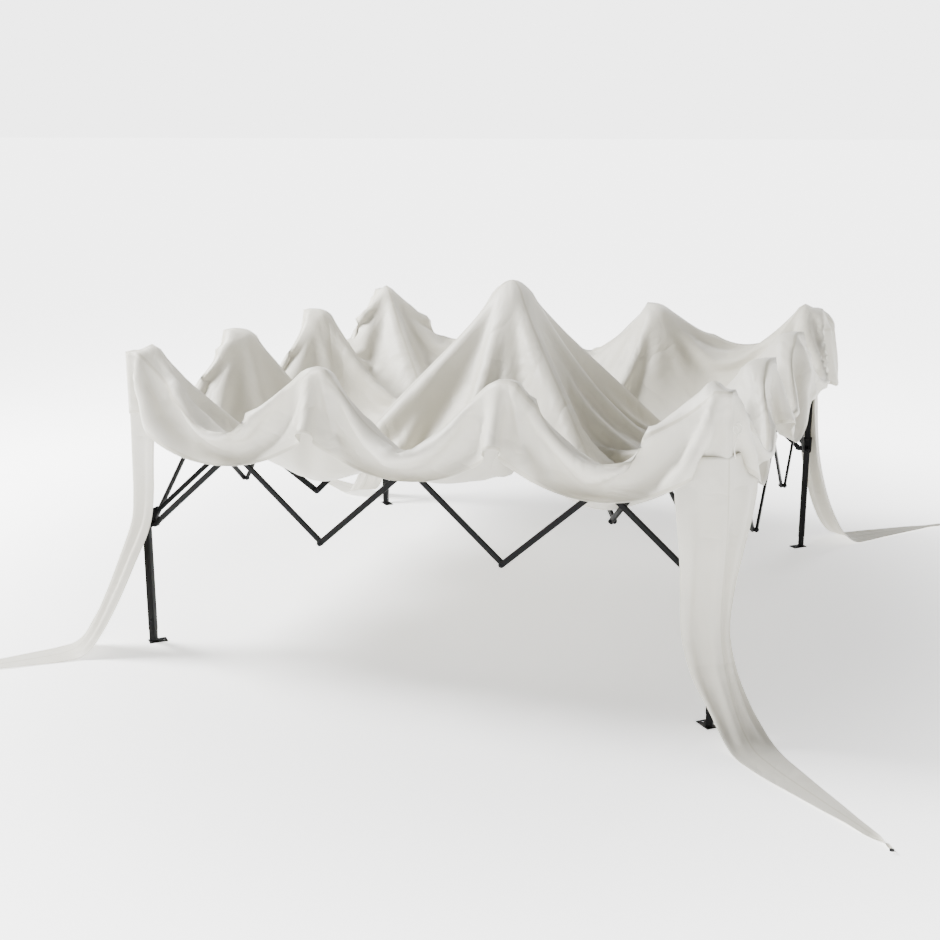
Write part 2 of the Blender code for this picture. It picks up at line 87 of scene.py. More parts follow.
@dataclass(frozen=True)
class FrameSizes:
    """The pivots and sections of the folding frame, as it stands."""

    half: float = 1.2
    corner_pivot: float = 0.045
    angle: float = math.radians(41.5)
    low_z: float = 0.531
    layer_near: float = 0.0025
    layer_far: float = 0.0135
    bar_width: float = 0.024
    rafter_width: float = 0.026
    strut_width: float = 0.020
    rafter_top_r: float = 0.056
    rafter_top_rise: float = 0.0166
    knee_share: float = 0.43865
    knee_drop: float = 0.6224
    hub_rise: float = 0.1657
    hub_r: float = 0.045
    strut_on: float = 0.5016
    strut_low_r: float = 0.050
    strut_low_rise: float = 0.0512
    dome_rise: float = 0.0917

    @property
    def step(self) -> float:
        """Distance between neighbouring joints along a side."""
        return (2 * self.half - 2 * self.corner_pivot) / 3

    @property
    def bar(self) -> float:
        """Length of a side bar between its end pivots."""
        return self.step / math.cos(self.angle)

    @property
    def top_z(self) -> float:
        """Height of the upper pivots."""
        return self.low_z + self.bar * math.sin(self.angle)

    @property
    def centre_r(self) -> float:
        """Distance from a leg to the centre."""
        return self.half * math.sqrt(2)

    @property
    def rafter_top(self) -> tuple[float, float]:
        """The pivot of the outer rafter at its bracket, as radius and height."""
        return self.rafter_top_r, self.top_z + self.rafter_top_rise

    @property
    def knee(self) -> tuple[float, float]:
        """The pivot between the outer and the inner rafter, as radius and height."""
        return self.centre_r * self.knee_share, self.top_z - self.knee_drop

    @property
    def hub(self) -> tuple[float, float]:
        """The pivot of the inner rafter at the hub, as radius and height."""
        return self.centre_r - self.hub_r, self.top_z + self.hub_rise

    @property
    def strut_low(self) -> tuple[float, float]:
        """The lower pivot of the strut, as radius and height."""
        return self.strut_low_r, self.low_z + self.strut_low_rise

    @property
    def strut_high(self) -> tuple[float, float]:
        """The pivot of the strut on the outer rafter, as radius and height."""
        run = self.knee[0] - self.rafter_top[0]
        fall = self.rafter_top[1] - self.knee[1]
        share = self.strut_on / math.hypot(run, fall)
        return self.rafter_top[0] + run * share, self.rafter_top[1] - fall * share

    @property
    def tip_z(self) -> float:
        """Height of the hub's dome."""
        return self.hub[1] + self.dome_rise


SIZES = FrameSizes()


def side_frame(index: int) -> Array:
    """Gives a side's own frame: its first corner at floor height, x along the side, y inwards.

    Args:
        index: which side, counted from the front.

    Returns:
        The 4 by 4 matrix from that frame to the world.
    """
    at = SIZES.half * np.array(CORNER_SIGNS[index])
    turn = math.radians(90.0 * index)
    return np.array(Matrix.Translation((at[0], at[1], 0.0)) @ Matrix.Rotation(turn, 4, "Z"))


def diagonal_frame(index: int) -> Array:
    """Gives a rafter's frame: its leg at floor height, x towards the centre, z up.

    Args:
        index: which corner, counted from the front left.

    Returns:
        The 4 by 4 matrix from that frame to the world.
    """
    return side_frame(index) @ np.array(Matrix.Rotation(math.radians(45.0), 4, "Z"))


def moved(points: Array, matrix: Array) -> Array:
    """Carries points through a 4 by 4 matrix."""
    return points @ matrix[:3, :3].T + matrix[:3, 3]


# ---------------------------------------------------------------------------------------------------------------
# Meshes


def grid_quads(rows: int, columns: int, round_columns: bool = False) -> Array:
    """Lists the quads of a grid whose points are stored row by row.

    Args:
        rows: points down the grid.
        columns: points across it.
        round_columns: whether the last column joins the first one.

    Returns:
        An array of four point numbers a quad.
    """
    across = columns if round_columns else columns - 1
    row, column = np.meshgrid(np.arange(rows - 1), np.arange(across), indexing="ij")
    after = (column + 1) % columns
    quads = np.stack([row * columns + column, row * columns + after, (row + 1) * columns + after,
                      (row + 1) * columns + column], axis=-1)
    return quads.reshape(-1, 4)


def link_object(name: str, data: bpy.types.ID) -> bpy.types.Object:
    """Makes an object of a mesh, a light or a camera and puts it into the scene."""
    made = bpy.data.objects.new(name, data)
    bpy.context.scene.collection.objects.link(made)
    return made


def add_thickness(piece: bpy.types.Object, thick: float) -> None:
    """Gives a single sheet of cloth its thickness, half of it on each side."""
    wall = piece.modifiers.new("Thickness", "SOLIDIFY")
    wall.thickness = thick
    wall.offset = 0.0


def put_mesh(name: str, shapes: list[tuple[Array, Array]], material: bpy.types.Material,
             body: str) -> bpy.types.Object:
    """Puts one or more shapes into one mesh object that rides on a body.

    Points that coincide are made one, and the faces are turned outwards.

    Args:
        name: the piece's name.
        shapes: points and quads of each shape.
        material: its finish.
        body: the body that it moves with.

    Returns:
        The new object.
    """
    points = np.concatenate([shape[0] for shape in shapes])
    starts = np.cumsum([0] + [len(shape[0]) for shape in shapes[:-1]])
    quads = np.concatenate([shape[1] + start for shape, start in zip(shapes, starts)])
    mesh = bpy.data.meshes.new(name)
    mesh.from_pydata(points.tolist(), [], quads.tolist())
    builder = bmesh.new()
    builder.from_mesh(mesh)
    bmesh.ops.remove_doubles(builder, verts=builder.verts[:], dist=WELD)
    bmesh.ops.recalc_face_normals(builder, faces=builder.faces[:])
    builder.to_mesh(mesh)
    builder.free()
    mesh.materials.append(material)
    mesh.shade_smooth()
    mesh.set_sharp_from_angle(angle=math.radians(SHARP_EDGE))
    piece = link_object(name, mesh)
    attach(piece, body)
    LOG.info("%s: %d faces, rides on %s", name, len(mesh.polygons), body)
    return piece


def rounded_bar(length: float, width: float, near: float, far: float, edge: float) -> tuple[Array, Array]:
    """Shapes a flattened tube with half-round ends, lying along x with its thickness along y.

    A stadium outline is carried round the bar's rim: each ring is the outline moved inwards by the rim's inset
    at one height in the thickness, and the rim is a quarter circle at each face.

    Args:
        length: distance between the centres of the two ends.
        width: height of the flat face.
        near: lowest y of the bar.
        far: highest y of the bar.
        edge: radius of the rounded edges.

    Returns:
        The points and the quads.
    """
    half = width / 2
    turn = np.linspace(-math.pi / 2, math.pi / 2, 9)
    outline = np.concatenate([np.stack([np.cos(turn), np.sin(turn), np.full(9, length)], 1),
                              np.stack([-np.cos(turn), -np.sin(turn), np.zeros(9)], 1)])
    # The first arc starts flat on the near face and ends at the widest line; the second one mirrors it.
    arc = np.linspace(0.0, math.pi / 2, 5)
    inset = np.concatenate([[half], edge * (1 - np.sin(arc)), edge * (1 - np.cos(arc)), [half]])
    height = np.concatenate([[near], near + edge * (1 - np.cos(arc)), far - edge * (1 - np.sin(arc)), [far]])
    radius = (half - inset)[:, None]
    along = outline[None, :, 0] * radius + outline[None, :, 2]
    up = outline[None, :, 1] * radius
    points = np.stack([along, np.broadcast_to(height[:, None], along.shape), up], axis=-1)
    return points.reshape(-1, 3), grid_quads(len(inset), len(outline), round_columns=True)


def lathe(profile: list[tuple[float, float]], at: tuple[float, float], sides: int = 20,
          facets: bool = False) -> tuple[Array, Array]:
    """Turns a profile about an axis along y.

    Each point of the profile, a radius and a place along y, is carried round a full circle.

    Args:
        profile: radius and y of each point, from one end on the axis to the other.
        at: x and z of the axis.
        sides: points round the circle.
        facets: whether the circle is a hexagon, as on a nut.

    Returns:
        The points and the quads.
    """
    rows = np.array(profile)
    angle = np.linspace(0.0, 2 * math.pi, sides, endpoint=False)
    reach = np.ones(sides)
    if facets:
        reach = math.cos(math.pi / 6) / np.cos((angle + math.pi / 6) % (math.pi / 3) - math.pi / 6)
    x = at[0] + rows[:, :1] * reach * np.cos(angle)
    z = at[1] + rows[:, :1] * reach * np.sin(angle)
    y = np.broadcast_to(rows[:, 1:], x.shape)
    return np.stack([x, y, z], axis=-1).reshape(-1, 3), grid_quads(len(rows), sides, round_columns=True)


def box_tube(outer: float, inner: float, corner: float, low: float, high: float) -> tuple[Array, Array]:
    """Shapes a square tube with rounded corners about the z axis, open at both ends.

    The section is a rounded square, a square moved outwards from a smaller one by the corner's radius. It is
    carried up the outside, over the top and down the inside, and back under the lower end.

    Args:
        outer: outside of the square.
        inner: inside of the square.
        corner: outside corner radius.
        low: lowest z.
        high: highest z.

    Returns:
        The points and the quads.
    """
    angle = np.linspace(0.0, 2 * math.pi, 24, endpoint=False) + math.pi / 24
    signs = np.stack([np.sign(np.cos(angle)), np.sign(np.sin(angle))], axis=1)
    circle = np.stack([np.cos(angle), np.sin(angle)], axis=1)
    wall = (outer - inner) / 2
    lip = wall * 0.35

    def ring(side: float, radius: float, z: float) -> Array:
        """One rounded square at one height."""
        flat = signs * (side / 2 - radius) + circle * radius
        return np.column_stack([flat, np.full(len(flat), z)])

    inside = max(corner - wall, 0.0004)
    rings = [ring(outer, corner, low + lip), ring(outer, corner, high - lip),
             ring(outer - 2 * lip, corner - lip, high), ring(inner + 2 * lip, inside + lip / 2, high),
             ring(inner, inside, high - lip), ring(inner, inside, low + lip),
             ring(inner + 2 * lip, inside + lip / 2, low), ring(outer - 2 * lip, corner - lip, low),
             ring(outer, corner, low + lip)]
    return np.concatenate(rings), grid_quads(len(rings), len(angle), round_columns=True)


def swept_tube(path: Array, radius: float, sides: int = 10) -> tuple[Array, Array]:
    """Carries a circle along a smooth path, with a frame that turns as little as it can.

    Args:
        path: the points of the centreline.
        radius: the tube's radius.
        sides: points round the circle.

    Returns:
        The points and the quads, with the ends drawn to a point.
    """
    ahead = np.gradient(path, axis=0)
    ahead /= np.linalg.norm(ahead, axis=1, keepdims=True)
    first = np.cross(ahead, np.array([0.31, 0.52, 0.79]))
    first /= np.linalg.norm(first, axis=1, keepdims=True)
    second = np.cross(ahead, first)
    angle = np.linspace(0.0, 2 * math.pi, sides, endpoint=False)
    size = np.full(len(path), radius)
    size[[0, -1]] = radius * 0.55
    rings = path[:, None] + size[:, None, None] * (
        np.cos(angle)[None, :, None] * first[:, None] + np.sin(angle)[None, :, None] * second[:, None])
    ends = [np.repeat(path[:1], sides, axis=0), *rings, np.repeat(path[-1:], sides, axis=0)]
    return np.concatenate(ends), grid_quads(len(path) + 2, sides, round_columns=True)


def smooth_path(points: list[tuple[float, ...]], count: int) -> Array:
    """Runs a Catmull-Rom curve through points and samples it evenly in its parameter.

    Args:
        points: rows of numbers that the curve goes through.
        count: how many rows to give back.

    Returns:
        The sampled rows.
    """
    rows = np.array(points, dtype=float)
    padded = np.concatenate([2 * rows[:1] - rows[1:2], rows, 2 * rows[-1:] - rows[-2:-1]])
    place = np.linspace(0.0, len(rows) - 1.0, count)
    whole = np.minimum(place.astype(int), len(rows) - 2)
    t = (place - whole)[:, None]
    a, b, c, d = (padded[whole + k] for k in range(4))
    return 0.5 * (2 * b + (c - a) * t + (2 * a - 5 * b + 4 * c - d) * t**2 + (3 * b - a - 3 * c + d) * t**3)


# ---------------------------------------------------------------------------------------------------------------
# Finishes


def linear(colour: str) -> tuple[float, float, float, float]:
    """Turns an sRGB hex colour to linear light, by the usual curve."""
    parts = [int(colour[i : i + 2], 16) / 255 for i in (1, 3, 5)]
    red, green, blue = (p / 12.92 if p <= 0.04045 else ((p + 0.055) / 1.055) ** 2.4 for p in parts)
    return red, green, blue, 1.0


def add_node(tree: bpy.types.NodeTree, kind: str, inputs: dict[str | int, object] | None = None,
             **settings: object) -> bpy.types.Node:
    """Adds one node with its settings, input values and links.

    Args:
        tree: the material's node tree.
        kind: Blender's name of the node type, without the leading ShaderNode.
        inputs: values or output sockets, by the name or number of the input.
        settings: properties of the node; stops holds the place and sRGB hex colour of a ramp's two ends.

    Returns:
        The new node.
    """
    node = tree.nodes.new("ShaderNode" + kind)
    for index, (place, colour) in enumerate(settings.pop("stops", ())):
        element = node.color_ramp.elements[index]
        element.position, element.color = place, linear(colour)
    for key, value in settings.items():
        setattr(node, key, value)
    for key, value in (inputs or {}).items():
        if isinstance(value, Socket):
            tree.links.new(value, node.inputs[key])
        else:
            node.inputs[key].default_value = value
    return node


def new_finish(name: str) -> tuple[bpy.types.Material, bpy.types.NodeTree, bpy.types.Node]:
    """Starts a material and hands over its tree and its Principled shader."""
    material = bpy.data.materials.new(name)
    material.use_nodes = True
    return material, material.node_tree, material.node_tree.nodes["Principled BSDF"]


@dataclass(frozen=True)
class PowderCoatedSteel:
    """Steel tube, phosphated and sprayed with black polyester powder: satin, with a faint orange peel.

    The peel is about 1.5 mm from bump to bump. It is drawn at 3 mm, so that it shows at all. Handling has rubbed
    patches of the coat a little greyer.
    """

    colour: str = "#030303"
    rubbed: str = "#0a0a0b"
    peel: float = 0.003
    roughness: float = 0.46

    def build(self) -> bpy.types.Material:
        """Makes the material."""
        material, tree, shader = new_finish("black_powder_coated_steel")
        place = add_node(tree, "TexCoord").outputs["Object"]
        peel = add_node(tree, "TexNoise", {"Vector": place, "Scale": 1 / self.peel, "Detail": 2.0})
        cloud = add_node(tree, "TexNoise", {"Vector": place, "Scale": 9.0, "Detail": 4.0, "Roughness": 0.6})
        colour = add_node(tree, "ValToRGB", {"Fac": cloud.outputs["Fac"]},
                          stops=[(0.35, self.colour), (0.78, self.rubbed)]).outputs["Color"]
        rough = add_node(tree, "MapRange", {"Value": cloud.outputs["Fac"], "To Min": self.roughness - 0.07,
                                            "To Max": self.roughness + 0.12})
        bump = add_node(tree, "Bump", {"Height": peel.outputs["Fac"], "Strength": 0.12, "Distance": 0.0004})
        tree.links.new(colour, shader.inputs["Base Color"])
        tree.links.new(rough.outputs["Result"], shader.inputs["Roughness"])
        tree.links.new(bump.outputs["Normal"], shader.inputs["Normal"])
        shader.inputs["IOR"].default_value = 1.5
        shader.inputs["Specular IOR Level"].default_value = 0.12
        return material


@dataclass(frozen=True)
class MouldedNylon:
    """Glass-filled black nylon from a spark-eroded mould: matt, with a fine leathery grain.

    The grain is about 0.8 mm and is drawn at 2 mm.
    """

    colour: str = "#040404"
    dusty: str = "#0d0d0e"
    grain: float = 0.002

    def build(self) -> bpy.types.Material:
        """Makes the material."""
        material, tree, shader = new_finish("moulded_black_nylon")
        place = add_node(tree, "TexCoord").outputs["Object"]
        grain = add_node(tree, "TexVoronoi", {"Vector": place, "Scale": 1 / self.grain})
        cloud = add_node(tree, "TexNoise", {"Vector": place, "Scale": 14.0, "Detail": 3.0})
        colour = add_node(tree, "ValToRGB", {"Fac": cloud.outputs["Fac"]},
                          stops=[(0.4, self.colour), (0.8, self.dusty)]).outputs["Color"]
        rough = add_node(tree, "MapRange", {"Value": cloud.outputs["Fac"], "To Min": 0.5, "To Max": 0.68})
        bump = add_node(tree, "Bump", {"Height": grain.outputs["Distance"], "Strength": 0.15, "Distance": 0.0003})
        tree.links.new(colour, shader.inputs["Base Color"])
        tree.links.new(rough.outputs["Result"], shader.inputs["Roughness"])
        tree.links.new(bump.outputs["Normal"], shader.inputs["Normal"])
        shader.inputs["IOR"].default_value = 1.53
        shader.inputs["Specular IOR Level"].default_value = 0.12
        return material


@dataclass(frozen=True)
class BlackZincSteel:
    """Rolled steel bolts and nuts, zinc plated and black passivated: dark metal with a dull shine."""

    colour: str = "#0c0d0e"
    worn: str = "#2a2b2d"

    def build(self) -> bpy.types.Material:
        """Makes the material."""
        material, tree, shader = new_finish("black_zinc_plated_steel")
        place = add_node(tree, "TexCoord").outputs["Object"]
        cloud = add_node(tree, "TexNoise", {"Vector": place, "Scale": 160.0, "Detail": 3.0})
        colour = add_node(tree, "ValToRGB", {"Fac": cloud.outputs["Fac"]},
                          stops=[(0.45, self.colour), (0.75, self.worn)]).outputs["Color"]
        rough = add_node(tree, "MapRange", {"Value": cloud.outputs["Fac"], "To Min": 0.32, "To Max": 0.5})
        tree.links.new(colour, shader.inputs["Base Color"])
        tree.links.new(rough.outputs["Result"], shader.inputs["Roughness"])
        shader.inputs["Metallic"].default_value = 0.9
        return material


@dataclass(frozen=True)
class CordBraid:
    """Braided white polyester cord: slanted strands about 1 mm wide, each with its groove in 2 mm."""

    colour: str = "#e9e7df"
    shaded: str = "#bdbaad"

    def build(self) -> bpy.types.Material:
        """Makes the material."""
        material, tree, shader = new_finish("braided_polyester_cord")
        place = add_node(tree, "TexCoord").outputs["Object"]
        strand = add_node(tree, "TexWave", {"Vector": place, "Scale": 160.0, "Distortion": 1.5},
                          bands_direction="DIAGONAL")
        colour = add_node(tree, "ValToRGB", {"Fac": strand.outputs["Fac"]},
                          stops=[(0.1, self.shaded), (0.6, self.colour)]).outputs["Color"]
        bump = add_node(tree, "Bump", {"Height": strand.outputs["Fac"], "Strength": 0.4, "Distance": 0.0004})
        tree.links.new(colour, shader.inputs["Base Color"])
        tree.links.new(bump.outputs["Normal"], shader.inputs["Normal"])
        shader.inputs["Roughness"].default_value = 0.75
        return material


@dataclass(frozen=True)
class PolyesterCloth:
    """Plain-woven polyester, calendered on one side: ivory, with a satin sheen and fine creases.

    The threads are 0.35 mm apart and are drawn at 2.2 mm. The piece's UV map is its flat cut in metres, so the
    weave, the seams and the hems follow the cloth. A seam is a 12 mm lap, and it shows as a low ridge.
    """

    name: str
    seams: tuple[float, ...]
    hem: float
    hips: bool = True
    strip: bool = False
    light: str = "#d5d2c7"
    shade: str = "#cdc9bb"
    seam: str = "#c5c1b2"
    thread: float = 0.0022
    lap: float = 0.012

    def build(self) -> bpy.types.Material:
        """Makes the material."""
        material, tree, shader = new_finish(self.name)
        flat = add_node(tree, "UVMap", uv_map="cut").outputs["UV"]
        place = add_node(tree, "TexCoord").outputs["Object"]
        split = add_node(tree, "SeparateXYZ", {"Vector": flat})
        u = add_node(tree, "Math", {0: split.outputs["X"]}, operation="ABSOLUTE").outputs[0]
        v, ring = split.outputs["Y"], u
        if not self.strip:
            v = add_node(tree, "Math", {0: v}, operation="ABSOLUTE").outputs[0]
            ring = add_node(tree, "Math", {0: u, 1: v}, operation="MAXIMUM").outputs[0]
        # A wave texture repeats every 0.314 / scale metres, so a ridge and the groove beside it take two threads.
        waves = [add_node(tree, "TexWave", {"Vector": flat, "Scale": 1 / self.thread / 6.3}, bands_direction=way)
                 for way in "XY"]
        weave = add_node(tree, "Math", {0: waves[0].outputs["Fac"], 1: waves[1].outputs["Fac"]},
                         operation="MULTIPLY").outputs[0]
        crease = add_node(tree, "TexNoise", {"Vector": flat, "Scale": 7.0, "Detail": 5.0, "Roughness": 0.55,
                                             "Distortion": 0.6}).outputs["Fac"]
        sharp = add_node(tree, "TexNoise", {"Vector": flat, "Scale": 3.2, "Detail": 2.0, "Roughness": 0.5,
                                            "Distortion": 1.4}).outputs["Fac"]
        cloud = add_node(tree, "TexNoise", {"Vector": place, "Scale": 1.6, "Detail": 3.0})
        # The folds are where the second noise passes its middle. Each lap is a band about its line: the seams and
        # the hem are squares in the cut, and the hips are its diagonals.
        fold = self.distance(tree, sharp, 0.5)
        laps = [(ring, middle, 0.5, 0.62) for middle in (*self.seams, self.hem)]
        if self.hips:
            laps.append((u, v, 0.7, 0.9))
        ridge: Socket | None = None
        for line, middle, inside, outside in laps:
            band = add_node(tree, "MapRange", {"Value": self.distance(tree, line, middle),
                                               "From Min": self.lap * inside, "From Max": self.lap * outside,
                                               "To Min": 1.0, "To Max": 0.0}).outputs["Result"]
            ridge = band if ridge is None else add_node(
                tree, "Math", {0: ridge, 1: band}, operation="MAXIMUM").outputs[0]
        colour = add_node(tree, "ValToRGB", {"Fac": cloud.outputs["Fac"]},
                          stops=[(0.3, self.shade), (0.62, self.light)]).outputs["Color"]
        seam_colour = add_node(tree, "Mix", {"Factor": ridge, 6: colour, 7: linear(self.seam)}, data_type="RGBA")
        rough = add_node(tree, "MapRange", {"Value": crease, "To Min": 0.42, "To Max": 0.62})
        normal: dict[str, Socket] = {}
        for height, strength, depth in ((weave, 0.06, 0.0004), (crease, 0.4, 0.010), (fold, 0.35, 0.05),
                                        (ridge, 0.35, 0.001)):
            bump = add_node(tree, "Bump", {"Height": height, "Strength": strength, "Distance": depth, **normal})
            normal = {"Normal": bump.outputs["Normal"]}
        tree.links.new(seam_colour.outputs[2], shader.inputs["Base Color"])
        tree.links.new(rough.outputs["Result"], shader.inputs["Roughness"])
        tree.links.new(normal["Normal"], shader.inputs["Normal"])
        shader.inputs["Sheen Weight"].default_value = 0.25
        shader.inputs["Sheen Roughness"].default_value = 0.4
        shader.inputs["IOR"].default_value = 1.5
        return material

    def distance(self, tree: bpy.types.NodeTree, value: Socket, middle: Socket | float) -> Socket:
        """Gives how far a value is from a middle, as the size of their difference."""
        away = add_node(tree, "Math", {0: value, 1: middle}, operation="SUBTRACT").outputs[0]
        return add_node(tree, "Math", {0: away}, operation="ABSOLUTE").outputs[0]


@dataclass(frozen=True)
class StudioFloor:
    """A seamless pale paper sweep that glows with painted light, faint near the tent and fading to white away from
    it.
    """

    colour: str = "#fafafa"
    tooth: str = "#f8f8f8"
    near: float = 1.3
    far: float = 4.4
    glow: float = 4.4
    glow_near: float = 0.72

    def build(self) -> bpy.types.Material:
        """Makes the material."""
        material, tree, shader = new_finish("pale_studio_floor")
        place = add_node(tree, "TexCoord").outputs["Object"]
        tooth = add_node(tree, "TexNoise", {"Vector": place, "Scale": 3.0, "Detail": 3.0})
        colour = add_node(tree, "ValToRGB", {"Fac": tooth.outputs["Fac"]},
                          stops=[(0.3, self.tooth), (0.7, self.colour)]).outputs["Color"]
        away = add_node(tree, "VectorMath", {0: place}, operation="LENGTH").outputs["Value"]
        # Painted light: the floor's emission grows with the distance from the tent's middle, from glow_near up to
        # glow.
        glow = add_node(tree, "MapRange", {"Value": away, "From Min": self.near, "From Max": self.far,
                                           "To Min": self.glow_near, "To Max": self.glow},
                        interpolation_type="SMOOTHSTEP")
        tree.links.new(colour, shader.inputs["Base Color"])
        tree.links.new(glow.outputs["Result"], shader.inputs["Emission Strength"])
        shader.inputs["Emission Color"].default_value = (1.0, 1.0, 1.0, 1.0)
        shader.inputs["Roughness"].default_value = 0.9
        shader.inputs["Specular IOR Level"].default_value = 0.1
        return material


# ---------------------------------------------------------------------------------------------------------------
# The frame


class Face(Enum):
    """The side of the folding plane that a fastener is on."""

    OUTER = -1
    INNER = 1


def faced(shape: tuple[Array, Array], matrix: Array, face: Face) -> tuple[Array, Array]:
    """Sets a turned shape on one face of a folding plane.

    Args:
        shape: its points and quads, as they lie on the inner face.
        matrix: the plane's frame.
        face: the face that it is on.

    Returns:
        The points and the quads in the world.
    """
    points, quads = shape
    return moved(points * np.array([1.0, face.value, 1.0]), matrix), quads


@dataclass(frozen=True)
class Fastener:
    """One end of a pivot bolt: where it is and what it rides on."""

    body: str
    matrix: Array
    at: tuple[float, float]
    face: Face


@dataclass
class FoldingBars:
    """The side scissors, the rafters and the struts, as flattened tubes, with the bolts that they turn on."""

    steel: bpy.types.Material
    zinc: bpy.types.Material
    edge: float = 0.0042
    washer: float = 0.0095
    head: float = 0.0068
    spacer: float = 0.0088
    spacer_from: float = -0.0022
    spacer_to: float = 0.0026

    def bar_piece(self, name: str, matrix: Array, start: tuple[float, float], end: tuple[float, float],
                  width: float, inner_layer: bool, spacers: bool) -> None:
        """Makes one bar between two pivots in place of its plain solid.

        Args:
            name: the node that it stands for, which is also its body.
            matrix: the frame that its pivots are given in.
            start: x and z of its first pivot.
            end: x and z of its second pivot.
            width: its flat width.
            inner_layer: whether it lies in the layer on the inner side of its plane.
            spacers: whether it carries the spacers between the two layers.
        """
        near, far = SIZES.layer_near, SIZES.layer_far
        if not inner_layer:
            near, far = -far, -near
        run, rise = end[0] - start[0], end[1] - start[1]
        length = math.hypot(run, rise)
        points, quads = rounded_bar(length, width, near, far, self.edge)
        cosine, sine = run / length, rise / length
        turned = np.stack([start[0] + points[:, 0] * cosine - points[:, 2] * sine, points[:, 1],
                           start[1] + points[:, 0] * sine + points[:, 2] * cosine], axis=1)
        piece = put_mesh(f"{name}_tube", [(moved(turned, matrix), quads)], self.steel, name)
        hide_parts(name)
        if spacers:
            profile = [(0.0, self.spacer_from), (self.spacer, self.spacer_from), (self.spacer, self.spacer_to),
                       (0.0, self.spacer_to)]
            middle = SIZES.strut_on / length if "rafter" in name else 0.5
            rings = []
            for share in (0.0, middle, 1.0):
                shape, faces = lathe(profile, (start[0] + run * share, start[1] + rise * share))
                rings.append((moved(shape, matrix), faces))
            collar = put_mesh(f"{name}_spacers", rings, self.zinc, name)

    def bolt_end(self, item: Fastener) -> list[tuple[Array, Array]]:
        """Shapes a washer with a domed head on the outer face, or with a hexagon nut on the inner one.

        Args:
            item: where the bolt end is.

        Returns:
            The points and the quads of each of its parts.
        """
        base = SIZES.layer_far
        washer = [(0.0, base), (self.washer, base), (self.washer, base + 0.0012), (0.0, base + 0.0012)]
        if item.face is Face.OUTER:
            head = [(0.0, base + 0.001), (self.head, base + 0.001), (self.head, base + 0.0022),
                    (self.head * 0.86, base + 0.0037), (self.head * 0.55, base + 0.0047), (0.0, base + 0.0051)]
            shapes = [lathe(washer, item.at), lathe(head, item.at)]
        else:
            nut = [(0.0, base + 0.001), (self.head, base + 0.001), (self.head, base + 0.0055),
                   (self.head * 0.9, base + 0.006), (0.0, base + 0.006)]
            stub = [(0.0, base + 0.005), (0.0029, base + 0.005), (0.0029, base + 0.0078), (0.0022, base + 0.0085),
                    (0.0, base + 0.0085)]
            shapes = [lathe(washer, item.at), lathe(nut, item.at, sides=24, facets=True), lathe(stub, item.at)]
        return [faced(shape, item.matrix, item.face) for shape in shapes]

    def side(self, index: int) -> list[Fastener]:
        """Builds the three pairs of one side.

        Args:
            index: which side.

        Returns:
            The bolt ends along it.
        """
        name, matrix = SIDES[index], side_frame(index)
        here, after = CORNERS[index], CORNERS[(index + 1) % 4]
        top, low, step, first = SIZES.top_z, SIZES.low_z, SIZES.step, SIZES.corner_pivot
        ends = []
        for pair in (1, 2, 3):
            left, right = first + (pair - 1) * step, first + pair * step
            middle = ((left + right) / 2, (top + low) / 2)
            down, up = f"{name}_bar_down_{pair}", f"{name}_bar_up_{pair}"
            self.bar_piece(down, matrix, (left, top), (right, low), SIZES.bar_width, True, True)
            self.bar_piece(up, matrix, (left, low), (right, top), SIZES.bar_width, False, False)
            for at in ((left, top), middle, (right, low)):
                ends.append(Fastener(down, matrix, at, Face.INNER))
            for at in ((left, low), middle, (right, top)):
                ends.append(Fastener(up, matrix, at, Face.OUTER))
        ends.append(Fastener(f"corner_{here}", matrix, (first, top), Face.OUTER))
        ends.append(Fastener(f"slider_{here}", matrix, (first, low), Face.INNER))
        ends.append(Fastener(f"corner_{after}", matrix, (first + 3 * step, top), Face.INNER))
        ends.append(Fastener(f"slider_{after}", matrix, (first + 3 * step, low), Face.OUTER))
        return ends

    def rafters(self, index: int) -> list[Fastener]:
        """Builds the outer rafter, the inner rafter and the strut of one corner.

        Args:
            index: which corner.

        Returns:
            The bolt ends along them.
        """
        corner, matrix = CORNERS[index], diagonal_frame(index)
        outer, inner, strut = (f"rafter_{kind}_{corner}" for kind in ("outer", "inner", "strut"))
        width = SIZES.rafter_width
        self.bar_piece(outer, matrix, SIZES.rafter_top, SIZES.knee, width, True, True)
        self.bar_piece(inner, matrix, SIZES.knee, SIZES.hub, width, False, False)
        self.bar_piece(strut, matrix, SIZES.strut_low, SIZES.strut_high, SIZES.strut_width, False, False)
        return [
            Fastener(outer, matrix, SIZES.rafter_top, Face.INNER),
            Fastener(outer, matrix, SIZES.strut_high, Face.INNER),
            Fastener(outer, matrix, SIZES.knee, Face.INNER),
            Fastener(f"corner_{corner}", matrix, SIZES.rafter_top, Face.OUTER),
            Fastener(strut, matrix, SIZES.strut_high, Face.OUTER),
            Fastener(strut, matrix, SIZES.strut_low, Face.OUTER),
            Fastener(f"slider_{corner}", matrix, SIZES.strut_low, Face.INNER),
            Fastener(inner, matrix, SIZES.knee, Face.OUTER),
            Fastener(inner, matrix, SIZES.hub, Face.OUTER),
            Fastener("hub", matrix, SIZES.hub, Face.INNER),
        ]

    def build(self) -> None:
        """Builds every bar, then the bolt ends of each body as one piece."""
        ends: list[Fastener] = []
        for index in range(4):
            ends += self.side(index)
            ends += self.rafters(index)
        for body in sorted({end.body for end in ends}):
            shapes = [shape for end in ends if end.body == body for shape in self.bolt_end(end)]
            piece = put_mesh(f"{body}_bolts", shapes, self.zinc, body)


